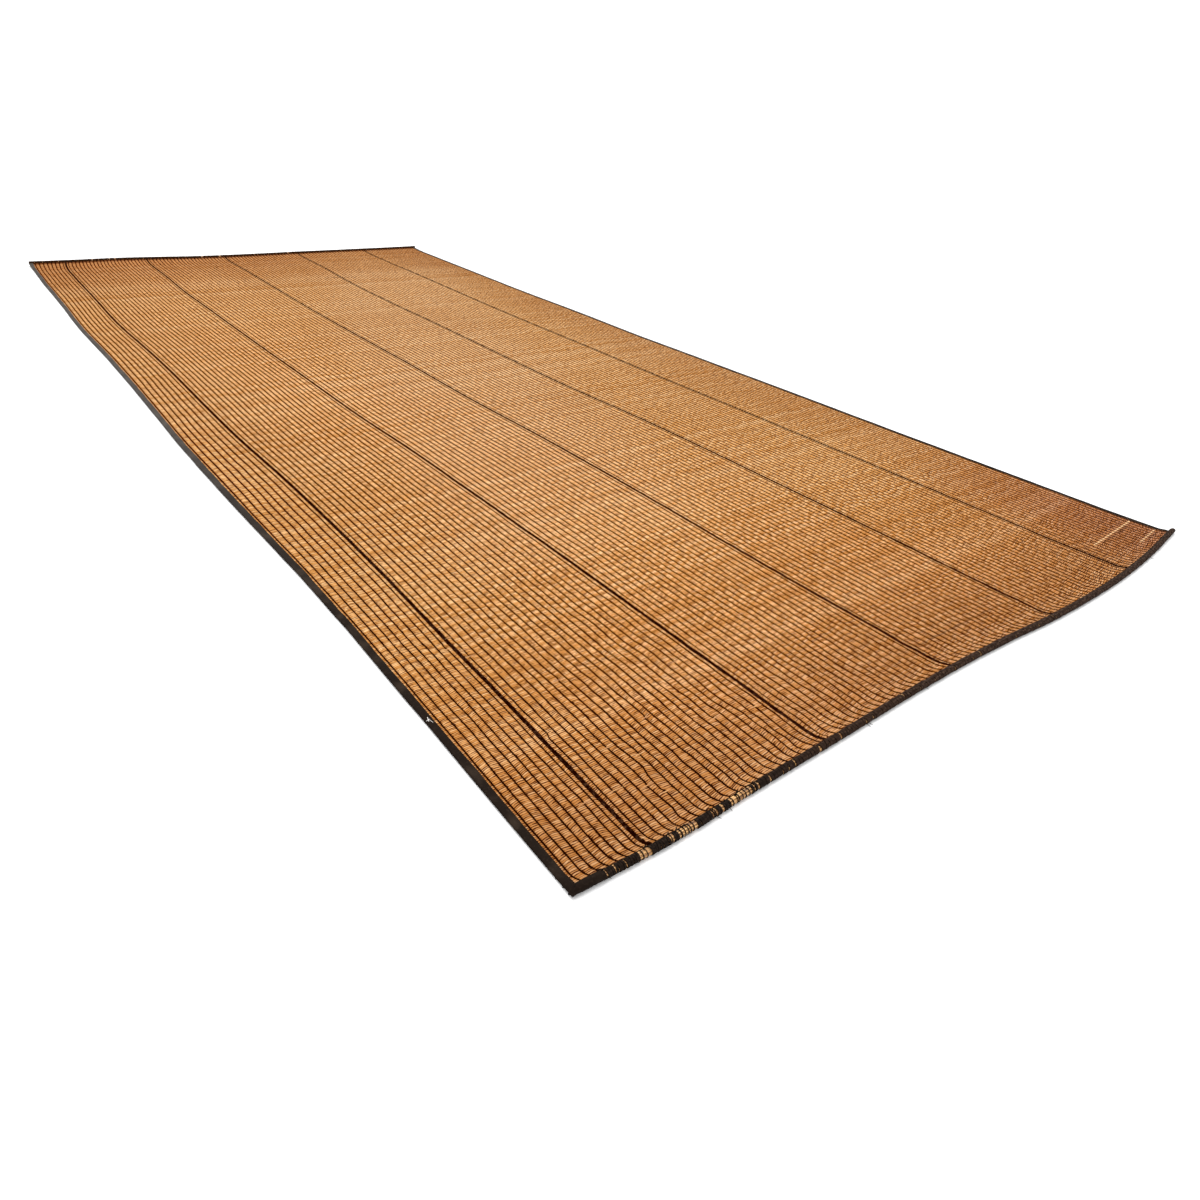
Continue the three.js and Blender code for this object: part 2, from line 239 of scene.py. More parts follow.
class Lie:
    """How the mat lies on the floor: from the square plan to its real place."""

    # How far the left side, the thick rows and the right side stray across, in millimetres. A scratch
    # program fitted the thick rows' columns to the photo.
    LONG_LINES = np.array([
        # along, left side, first to fifth thick row, right side
        (0, -2, -10, 7, 10, -10, -12, -16),
        (250, 1, -8, 9, 0, -10, -21, -19),
        (610, 5, 1, 7, 0, -1, -19, -23),
        (1220, 8, 12, 7, 6, 2, -20, -29),
        (1830, -7, 10, 1, 4, 1, -23, -30),
        (2440, -15, -6, -19, -17, -30, -28, -35),
        (3050, -10, -6, -24, -19, -35, -30, -42),
        (3660, -10, -13, -32, -29, -41, -33, -30),
        (4270, -19, -30, -34, -36, -49, -26, -33),
        (4880, -11, -21, -39, -31, -42, -13, -19),
        (5490, -9, -14, -23, -24, -14, -5, -5),
        (6100, 4, -3, -23, -28, -9, 3, 7),
    ]) * MM

    # How far the near and the far short sides stray along the mat, in millimetres
    SHORT_SIDES = np.array([
        # across, near, far
        (0, -8, -95),
        (255, -23, -85),
        (509, -21, -65),
        (764, -23, -75),
        (1018, -23, -98),
        (1273, -27, -98),
        (1527, -39, -86),
        (1782, -58, -68),
        (2036, -66, -62),
        (2291, -63, -52),
        (2545, -47, -44),
        (2800, -20, -30),
    ]) * MM

    NEAR_WAVE_REACH = 0.8
    FAR_WAVE_REACH = 1.5

    # The far end is drawn to the right, and its left border against that a little
    FAR_SHIFT = 0.02
    FAR_SHIFT_HELD = 1.2

    FAR_LEFT_CURL = Curl(rise=0.010, across=2.0, along=0.32)
    NEAR_RIGHT_CURL = Curl(rise=0.004, across=0.4, along=0.30)
    CORNER_NODE = "far_wrap_7"

    def __init__(self, plan: Plan) -> None:
        """Finds the plan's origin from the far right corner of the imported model."""
        self.plan = plan
        self.origin = np.zeros(2)
        corner = self.settle(np.array([[plan.width, plan.length, 0.0]]))[0]
        self.origin = np.array(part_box(self.CORNER_NODE)[1])[:2] - corner[:2]

    def stray(self, across: Array, along: Array) -> Array:
        """How far places lie to the right of the plan, going straight from one line to the next.

        Args:
            across: Places across the plan.
            along: Places along the plan.

        Returns:
            The distance at each place.
        """
        places, *strays = self.LONG_LINES.T
        lines = [0.0, *self.plan.thick_rows, self.plan.width]
        shares = [np.interp(across, lines, share) for share in np.eye(len(lines))]
        return sum(share * smooth_table(places, column, along) for share, column in zip(shares, strays))

    def settle(self, points: Array) -> Array:
        """Moves points from the square plan to where they really lie.

        Args:
            points: Rows of across, along and height over the floor.

        Returns:
            The same rows in the shared frame.
        """
        across, along, height = np.asarray(points, float).T
        plan, ends = self.plan, self.SHORT_SIDES.T
        to_far = plan.length - along
        held = 1 - self.FAR_SHIFT_HELD * fade(across, plan.thick_rows[0])
        shift = self.FAR_SHIFT * fade(to_far, self.FAR_LEFT_CURL.along) * held
        near, far = (smooth_table(ends[0], strays, across) for strays in ends[1:])
        x = across + self.stray(across, along) + shift
        y = along + near * fade(along, self.NEAR_WAVE_REACH) + far * fade(to_far, self.FAR_WAVE_REACH)
        lift = self.FAR_LEFT_CURL.lift(across, to_far)
        lift = lift + self.NEAR_RIGHT_CURL.lift(plan.width - across, along)
        z = np.maximum(height, 0.0) + lift
        return np.stack([x + self.origin[0], y + self.origin[1], z], axis=1)


@dataclass(frozen=True)
class Jog:
    """A place where one thong row steps sideways, often under a stray reed."""

    across: float
    along: float
    step: float
    length: float = 0.12
    covered: bool = True


@dataclass(frozen=True)
class Wander:
    """One of the ways in which thong rows leave their straight lines, its waves some rows wide."""

    seed: int
    amount: float
    rows: float
    length: float

    def at(self, line: Array, along: Array) -> Array:
        """How far it moves these places to the right."""
        return self.amount * Ripple(self.seed).at(line / self.rows, along / self.length)


class RowLines:
    """Where each thong row runs across the plan, with its wandering."""

    SLOW = Wander(11, 0.0024, rows=9.0, length=0.42)
    QUICK = Wander(12, 0.0013, rows=1.9, length=0.085)
    NEAR = Wander(13, 0.0060, rows=2.6, length=0.095)
    TREMOR = Wander(12, 0.0030, rows=1 / 1.9, length=0.037)

    # Rows beside the long sides and the thick rows wander less
    SIDE_ROWS = 2.5
    THICK_HOLD = 0.75
    THICK_ROWS = 1.6

    # Rows wander more near the near left corner, but for those beside the left side
    NEAR_REACH = 1.8
    CORNER = 0.55
    CORNER_REACH = 1.6
    STEADY_LEFT = 0.35
    STEADY_TO = 0.15
    STEADY_REACH = 0.5

    # Rows turn aside where they reach the near roll
    TURN_REACH = 0.018
    TURN = 0.007
    TURN_FADE = 0.12

    JOG_SLOPE = 0.008

    # A scratch program worked out these places from the photo's pixels
    JOGS = (
        Jog(0.221, 0.370, 0.006, covered=False),
        Jog(0.327, 0.106, -0.006),
        Jog(0.303, 0.054, 0.006, covered=False),
        Jog(0.303, 0.272, -0.003),
        Jog(0.345, 0.218, 0.003),
        Jog(0.234, 0.166, -0.004),
        Jog(0.162, 0.171, 0.003),
        Jog(0.305, 0.140, 0.004),
        Jog(0.319, 0.171, 0.006, covered=False),
        Jog(0.345, 0.170, 0.003, covered=False),
        Jog(0.218, 0.873, 0.002),
        Jog(0.219, 0.816, 0.002),
        Jog(0.183, 0.774, -0.003),
        Jog(0.217, 0.749, 0.002),
        Jog(0.218, 0.718, 0.002),
        Jog(0.825, 0.727, 0.004),
        Jog(0.938, 0.643, -0.006),
        Jog(0.434, 0.300, 0.005),
        Jog(0.560, 0.210, -0.006),
        Jog(0.640, 0.420, 0.005),
        Jog(0.356, 0.520, 0.006),
    )

    def __init__(self, plan: Plan) -> None:
        """Keeps the plan's rows."""
        self.plan = plan
        self.base = plan.lines()
        self.count = len(self.base) - 1
        self.thick = np.array(plan.thick_lines())

    def across(self, line: Array, along: Array) -> Array:
        """Place across the plan of a line, or of a share of the way between two.

        Args:
            line: Number of the line, with its fraction.
            along: Place along the mat.

        Returns:
            Distance from the left long side.
        """
        line, along = np.broadcast_arrays(np.asarray(line, float), np.asarray(along, float))
        base = np.interp(line, np.arange(self.count + 1), self.base)
        from_edge = np.minimum(line, self.count - line)
        free = np.clip(from_edge / self.SIDE_ROWS, 0.0, 1.0)
        from_thick = np.min(np.abs(line[..., None] - self.thick), axis=-1)
        loose = 1 - self.THICK_HOLD * np.exp(-((from_thick / self.THICK_ROWS) ** 2))
        near = fade(along, self.NEAR_REACH) * fade(np.maximum(base - self.CORNER, 0.0), self.CORNER_REACH)
        from_left = smooth_step((base - self.STEADY_TO) / self.STEADY_REACH)
        steady = self.STEADY_LEFT + (1 - self.STEADY_LEFT) * from_left
        wander = self.SLOW.at(line, along) + loose * self.QUICK.at(line, along)
        wander = wander + steady * loose * near * self.NEAR.at(line, along)
        wander = wander + steady * fade(along, 2 * self.NEAR_REACH) * self.TREMOR.at(line, along)
        to_roll = np.maximum(along - self.plan.reeds_start, 0.0)
        from_right = smooth_step((self.plan.width - base) / self.TURN_FADE)
        turn = self.TURN * fade(to_roll, self.TURN_REACH) * from_right
        return base + free * wander + turn + self.jogs(line, base, along)

    def jogs(self, line: Array, base: Array, along: Array) -> Array:
        """Sideways steps of single rows, each dying out over its length.

        Args:
            line: Number of the line, with its fraction.
            base: Its place across before any wandering.
            along: Place along the mat.

        Returns:
            The shift across.
        """
        shift = np.zeros_like(base)
        for jog in self.JOGS:
            row = int(np.argmin(np.abs(self.base - jog.across)))
            on_row = np.clip(1 - np.abs(line - row), 0.0, 1.0)
            past = along - jog.along
            begun = smooth_step(past / self.JOG_SLOPE)
            shift = shift + jog.step * on_row * begun * fade(np.maximum(past, 0), jog.length)
        return shift


class Stations:
    """Places along the mat where its sections are taken, closer at its ends."""

    BAYS_OUTER = 16
    BAYS_INNER = 15

    # How long the bays are at these shares of the way, against each other
    SHARES = (0.0, 0.6, 0.93, 1.0)
    SPACINGS = (0.27, 1.0, 1.0, 0.35)

    def __init__(self, start: float, end: float) -> None:
        """Spaces the bays between two places."""
        self.count = self.BAYS_OUTER * self.BAYS_INNER
        middles = (np.arange(self.count) + 0.5) / self.count
        bays = np.interp(middles, self.SHARES, self.SPACINGS)
        run = np.concatenate([[0.0], np.cumsum(bays)]) / np.sum(bays)
        self.along = start + (end - start) * run

    def at(self, share: Array) -> Array:
        """Place along the mat of a share of the bays, from 0 to 1."""
        return np.interp(share * self.count, np.arange(self.count + 1), self.along)


class Bench:
    """Blender's own modelling tools, used on one piece at a time."""

    SHORTEST_BAY = 1e-5

    # Half the thickness and half the width of a ring's six-sided section
    RING_DEPTH = 0.1
    RING_SIDE = 0.0866

    @staticmethod
    def clear() -> None:
        """Deselects every object."""
        bpy.ops.object.select_all(action="DESELECT")

    @staticmethod
    def pick(pieces: list[Piece]) -> None:
        """Selects only these pieces, the first one active.

        Args:
            pieces: The pieces.
        """
        Bench.clear()
        for piece in pieces:
            piece.select_set(True)
        bpy.context.view_layer.objects.active = pieces[0]

    @staticmethod
    def take(name: str) -> Piece:
        """Names the primitive just added, with its place in its mesh and no UV maps.

        Args:
            name: Its name.

        Returns:
            The piece.
        """
        bpy.ops.object.transform_apply(location=True, rotation=True, scale=True)
        piece = bpy.context.object
        piece.name = piece.data.name = name
        while piece.data.uv_layers:
            piece.data.uv_layers.remove(piece.data.uv_layers[0])
        return piece

    @staticmethod
    def points(piece: Piece) -> Array:
        """All points of a piece, one row each.

        Args:
            piece: The piece.

        Returns:
            Three columns in the piece's own space.
        """
        flat = np.empty(len(piece.data.vertices) * 3, np.float32)
        piece.data.vertices.foreach_get("co", flat)
        return flat.reshape(-1, 3).astype(float)

    @staticmethod
    def move(piece: Piece, points: Array) -> None:
        """Puts the points of a piece at new places."""
        piece.data.vertices.foreach_set("co", np.ascontiguousarray(points, np.float32).ravel())
        piece.data.update()

    @staticmethod
    def chart(piece: Piece, name: str, first: Array, second: Array) -> None:
        """Gives a piece a named UV map.

        Args:
            piece: The piece.
            name: Name of the map.
            first: First number for each point of the piece.
            second: Second number.
        """
        layer = piece.data.uv_layers.new(name=name)
        corners = np.empty(len(piece.data.loops), np.int32)
        piece.data.loops.foreach_get("vertex_index", corners)
        pairs = np.stack([first, second], axis=1)[corners]
        layer.data.foreach_set("uv", np.ascontiguousarray(pairs, np.float32).ravel())

    @staticmethod
    def open_sheet(name: str, columns: int, rows: int) -> Piece:
        """A flat unit sheet of one thickness of faces, x and y from 0 to 1.

        Args:
            name: Name of the piece.
            columns: Number of faces along x.
            rows: Number of faces along y.

        Returns:
            The sheet.
        """
        Bench.clear()
        bpy.ops.mesh.primitive_grid_add(
            x_subdivisions=columns, y_subdivisions=rows, size=1, location=(0.5, 0.5, 0)
        )
        return Bench.take(name)

    @staticmethod
    def thicken(piece: Piece, thickness: float, offset: float) -> None:
        """Turns a sheet of faces into a closed one.

        Args:
            piece: The sheet.
            thickness: Distance between its two sides.
            offset: -1 adds the thickness behind, 0 on both sides.
        """
        Bench.pick([piece])
        solid = piece.modifiers.new("thickness", "SOLIDIFY")
        solid.thickness = thickness
        solid.offset = offset
        bpy.ops.object.modifier_apply(modifier=solid.name)

    @staticmethod
    def lane(name: str, bays: tuple[int, int], top: float) -> Piece:
        """A unit bar cut into bays along y, its upper side drawn in.

        Args:
            name: Name of the piece.
            bays: Two numbers whose product is how many bays there are.
            top: Width of the upper side against the lower one.

        Returns:
            The bar, x from -0.5 to 0.5, y and z from 0 to 1.
        """
        Bench.clear()
        bpy.ops.mesh.primitive_cube_add(size=1, location=(0, 0.5, 0.5))
        piece = Bench.take(name)
        corners = Bench.points(piece)
        corners[:, 0] *= np.where(corners[:, 2] > 0.5, top, 1.0)
        Bench.move(piece, corners)
        Bench.cut_along(piece, bays)
        return piece

    @staticmethod
    def cut_along(piece: Piece, bays: tuple[int, int]) -> None:
        """Cuts the edges of a bar that run along y into bays.

        Args:
            piece: The bar.
            bays: Two numbers whose product is how many bays there are.
        """
        for count in bays:
            places = Bench.points(piece)[:, 1]
            bpy.ops.object.mode_set(mode="EDIT")
            bpy.ops.mesh.select_mode(type="EDGE")
            bpy.ops.mesh.select_all(action="DESELECT")
            bpy.ops.object.mode_set(mode="OBJECT")
            for edge in piece.data.edges:
                first, second = edge.vertices
                edge.select = abs(places[first] - places[second]) > Bench.SHORTEST_BAY
            bpy.ops.object.mode_set(mode="EDIT")
            bpy.ops.mesh.subdivide(number_cuts=count - 1)
            bpy.ops.object.mode_set(mode="OBJECT")

    @staticmethod
    def ring(name: str, around: int, section: int) -> Piece:
        """A unit ring.

        Args:
            name: Name of the piece.
            around: Number of its sides around.
            section: Number of sides of its section.

        Returns:
            The ring about x with radius 1.
        """
        Bench.clear()
        bpy.ops.mesh.primitive_torus_add(
            major_segments=around,
            minor_segments=section,
            major_radius=1,
            minor_radius=Bench.RING_DEPTH,
            rotation=(0, math.pi / 2, 0),
        )
        return Bench.take(name)

    @staticmethod
    def round_ring(ring: Piece) -> tuple[Array, Array, Array]:
        """How far aside and how deep in its section a ring's points lie, from -1 to 1, and their angles."""
        x, y, z = Bench.points(ring).T
        return x / Bench.RING_SIDE, (np.hypot(y, z) - 1) / Bench.RING_DEPTH, np.arctan2(z, y)

    @staticmethod
    def rod(name: str, sides: int, bays: tuple[int, int]) -> Piece:
        """A closed unit rod along y from 0 to 1 with radius 1, cut into bays.

        Args:
            name: Name of the piece.
            sides: Number of its sides.
            bays: Two numbers whose product is how many bays there are.

        Returns:
            The rod.
        """
        Bench.clear()
        bpy.ops.mesh.primitive_cylinder_add(
            vertices=sides, radius=1, depth=1, location=(0, 0.5, 0), rotation=(math.pi / 2, 0, 0)
        )
        piece = Bench.take(name)
        Bench.cut_along(piece, bays)
        return piece

    @staticmethod
    def copy(piece: Piece) -> Piece:
        """A copy of a piece with its own mesh.

        Args:
            piece: What is copied.

        Returns:
            The copy, in the scene.
        """
        twin = piece.copy()
        twin.data = piece.data.copy()
        bpy.context.scene.collection.objects.link(twin)
        return twin

    @staticmethod
    def join(pieces: list[Piece], name: str) -> Piece:
        """Joins pieces into one with the given name.

        Args:
            pieces: The pieces.
            name: Name of the joined piece.

        Returns:
            The joined piece.
        """
        Bench.pick(pieces)
        if len(pieces) > 1:
            bpy.ops.object.join()
        joined = bpy.context.object
        joined.name = joined.data.name = name
        return joined

    @staticmethod
    def smooth(piece: Piece, angle: float) -> None:
        """Shades a piece smooth up to an angle in degrees."""
        Bench.pick([piece])
        bpy.ops.object.shade_smooth_by_angle(angle=math.radians(angle))

    @staticmethod
    def gather(pattern: Piece, copies: list[Piece], name: str, angle: float | None = None) -> Piece:
        """Takes a pattern away and joins its copies.

        Args:
            pattern: What the copies were made from.
            copies: The copies, each in its place.
            name: Name of the joined piece.
            angle: Angle in degrees up to which it is shaded smooth, or None to leave it as it is.

        Returns:
            The joined piece.
        """
        bpy.data.objects.remove(pattern)
        piece = Bench.join(copies, name)
        if angle is not None:
            Bench.smooth(piece, angle)
        return piece


class Value:
    """A number in a material, written as Python sums."""

    def __init__(self, tree: "Tree", socket: Socket) -> None:
        """Wraps one output socket."""
        self.tree = tree
        self.socket = socket

    def math(self, operation: str, *others: "Value | float", clamp: bool = False) -> "Value":
        """The result of one Math node, kept between 0 and 1 if clamped."""
        sockets = dict(enumerate((self, *others)))
        return self.tree.value("ShaderNodeMath", {"operation": operation, "use_clamp": clamp}, sockets)

    __add__ = __radd__ = partialmethod(math, "ADD")
    __sub__ = partialmethod(math, "SUBTRACT")
    __mul__ = partialmethod(math, "MULTIPLY")
    __truediv__ = partialmethod(math, "DIVIDE")
    __pow__ = partialmethod(math, "POWER")
    floor = partialmethod(math, "FLOOR")
    sine = partialmethod(math, "SINE")

    def __rsub__(self, other: float) -> "Value":
        """Difference with a number in front."""
        return (self * -1.0) + other

    def held(self) -> "Value":
        """The value kept between 0 and 1."""
        return self.math("ADD", 0.0, clamp=True)

    def above(self, start: float, end: float) -> "Value":
        """Eases from 0 to 1 as the value goes from start to end."""
        sockets = {0: self, 1: start, 2: end}
        return self.tree.value("ShaderNodeMapRange", {"interpolation_type": "SMOOTHSTEP"}, sockets)


class Tree:
    """The nodes of one material, and the one way to add them."""

    MARK_GRAIN = 260.0

    def __init__(self, name: str) -> None:
        """Starts an empty material."""
        self.material = bpy.data.materials.new(name)
        self.material.use_nodes = True
        self.nodes = self.material.node_tree.nodes
        self.links = self.material.node_tree.links
        self.nodes.clear()

    def node(
        self,
        kind: str,
        settings: dict | None = None,
        sockets: dict | None = None,
        output: int | str = 0,
    ) -> Socket:
        """Adds a node.

        Args:
            kind: Blender's type of the node.
            settings: Its settings, and a ramp's stops as pairs of place and colour.
            sockets: Values or links of its input sockets, by name or number.
            output: Which output is wanted.

        Returns:
            That output socket.
        """
        made = self.nodes.new(kind)
        for name, setting in (settings or {}).items():
            if name == "stops":
                self.set_stops(made.color_ramp.elements, setting)
            else:
                setattr(made, name, setting)
        for name, value in (sockets or {}).items():
            self.feed(made.inputs[name], value)
        return made.outputs[output]

    @staticmethod
    def set_stops(elements: bpy.types.ColorRampElements, stops: tuple) -> None:
        """Sets a ramp's stops.

        Args:
            elements: What the ramp holds.
            stops: Pairs of place and colour.
        """
        while len(elements) < len(stops):
            elements.new(1.0)
        for element, (place, colour) in zip(elements, stops):
            element.position = place
            element.color = (*colour, 1.0)

    def feed(self, socket: Socket, value: object) -> None:
        """Links or sets one input socket.

        Args:
            socket: The input.
            value: A result to link, or a setting.
        """
        if isinstance(value, Value):
            self.links.new(value.socket, socket)
        elif isinstance(value, Socket):
            self.links.new(value, socket)
        elif socket.type == "RGBA" and len(value) == 3:
            socket.default_value = (*value, 1.0)
        else:
            socket.default_value = value

    def value(
        self, kind: str, settings: dict | None = None, sockets: dict | None = None, output: int | str = 0
    ) -> Value:
        """Adds a node whose output is used as a number."""
        return Value(self, self.node(kind, settings, sockets, output))

    def chart(self, name: str) -> tuple[Value, Value]:
        """The two numbers of a piece's UV map."""
        pair = self.node("ShaderNodeUVMap", {"uv_map": name})
        return self.axis(pair, 0), self.axis(pair, 1)

    def axis(self, place: Socket, number: int) -> Value:
        """One of the three numbers of a place."""
        return self.value("ShaderNodeSeparateXYZ", None, {0: place}, number)

    def place(self) -> Socket:
        """Place on the piece in the shared frame."""
        return self.node("ShaderNodeTexCoord", output="Object")

    def noise(self, at: Socket, scale: float, detail: float) -> Value:
        """Soft noise from 0 to 1 at a place."""
        sockets = {"Vector": at, "Scale": scale, "Detail": detail}
        return self.value("ShaderNodeTexNoise", None, sockets, "Fac")

    def cloud(self, first: Value, second: Value, third: float = 0.0, detail: float = 1.0) -> Value:
        """Soft noise over two numbers, a third one choosing which."""
        at = self.node("ShaderNodeCombineXYZ", None, {0: first, 1: second, 2: third})
        return self.noise(at, 1.0, detail)

    def mix(self, share: "Value | float", first: object, second: object, blend: str = "MIX") -> Socket:
        """Mixes a share of a second colour into a first one."""
        settings = {"data_type": "RGBA", "blend_type": blend}
        return self.node("ShaderNodeMix", settings, {0: share, 6: first, 7: second}, 2)

    def vector(self, operation: str, sockets: dict, output: str = "Vector") -> Socket:
        """Adds one Vector Math node."""
        return self.node("ShaderNodeVectorMath", {"operation": operation}, sockets, output)

    def marked(self, colour: Socket, marks: tuple["Mark", ...], origin: Array) -> Socket:
        """Lays marks over a colour.

        Args:
            colour: Colour before them.
            marks: The marks.
            origin: Place of the near left corner in the shared frame.

        Returns:
            The colour with the marks.
        """
        here = self.place()
        flat = self.vector("MULTIPLY", {0: here, 1: (1, 1, 0)})
        rough = (self.noise(here, self.MARK_GRAIN, 2.0) - 0.5) * 0.9
        for mark in marks:
            start, end = (Vector((*(origin + place), 0.0)) for place in (mark.start, mark.end))
            run = end - start
            past = self.vector("SUBTRACT", {0: flat, 1: start})
            dot = self.vector("DOT_PRODUCT", {0: past, 1: run}, "Value")
            share = (Value(self, dot) * (1 / run.length_squared)).held()
            foot = self.vector("SCALE", {0: run, "Scale": share})
            away = Value(self, self.vector("DISTANCE", {0: past, 1: foot}, "Value"))
            cover = 1 - (away / (mark.width * 0.5) + rough).above(0.5, 1.3)
            colour = self.mix(cover * mark.strength, colour, mark.tone.value)
        return colour

    def bump(self, height: Value, depth: float) -> Socket:
        """A normal bent by a height from 0 to 1 that stands for a depth."""
        return self.node("ShaderNodeBump", None, {"Strength": 1.0, "Distance": depth, "Height": height})

    def finish(self, sockets: dict) -> bpy.types.Material:
        """Closes the material with one Principled shader.

        Args:
            sockets: The shader's inputs.

        Returns:
            The material.
        """
        shader = self.node("ShaderNodeBsdfPrincipled", None, sockets)
        self.links.new(shader, self.nodes.new("ShaderNodeOutputMaterial").inputs["Surface"])
        return self.material


@dataclass(frozen=True)
class Mark:
    """A stain, or a single odd reed, between two places seen on the mat."""

    start: tuple[float, float]
    end: tuple[float, float]
    width: float
    tone: Tone
    strength: float


# Places from the near left corner in metres, as the mat lies, worked out from the photo's pixels
REED_MARKS = (
    Mark((1.640, 5.098), (1.846, 5.073), 0.012, Tone.STAIN, 0.75),
    Mark((1.960, 5.220), (1.975, 5.224), 0.016, Tone.STAIN, 0.6),
    Mark((1.366, 3.270), (1.372, 3.272), 0.010, Tone.STAIN, 0.9),
    Mark((1.052, 2.075), (1.060, 2.075), 0.009, Tone.STAIN, 0.8),
    Mark((0.601, 1.682), (0.610, 1.682), 0.008, Tone.STAIN, 0.8),
    Mark((1.491, 2.319), (1.500, 2.319), 0.008, Tone.STAIN, 0.7),
    Mark((0.256, 2.431), (0.264, 2.431), 0.008, Tone.STAIN, 0.7),
    Mark((0.366, 1.992), (0.374, 1.992), 0.008, Tone.STAIN, 0.7),
    Mark((1.280, 0.100), (1.710, 0.085), 0.006, Tone.STAIN, 0.45),
    Mark((2.455, 0.097), (2.560, 0.101), 0.0090, Tone.STAIN, 0.40),
    Mark((2.600, 0.104), (2.690, 0.109), 0.0100, Tone.STAIN, 0.45),
    Mark((2.650, 0.014), (2.730, 0.020), 0.0080, Tone.STAIN, 0.35),
    Mark((2.408, 0.107), (2.755, 0.124), 0.0070, Tone.PALE_REED, 0.70),
    Mark((2.595, 0.023), (2.759, 0.036), 0.0065, Tone.PALE_REED, 0.60),
)
BINDING_MARKS = (
    Mark((0.0220, 0.0111), (0.0146, 0.0048), 0.0012, Tone.SEAM, 1.0),
    Mark((0.0146, 0.0048), (0.0080, -0.0006), 0.0012, Tone.SEAM, 1.0),
    Mark((0.0159, 0.5671), (0.0122, 0.5532), 0.0014, Tone.LINT, 1.0),
    Mark((0.0083, 0.5566), (0.0165, 0.5598), 0.0014, Tone.LINT, 1.0),
    Mark((0.0156, 0.5591), (0.0182, 0.5451), 0.0011, Tone.LINT, 0.8),
)


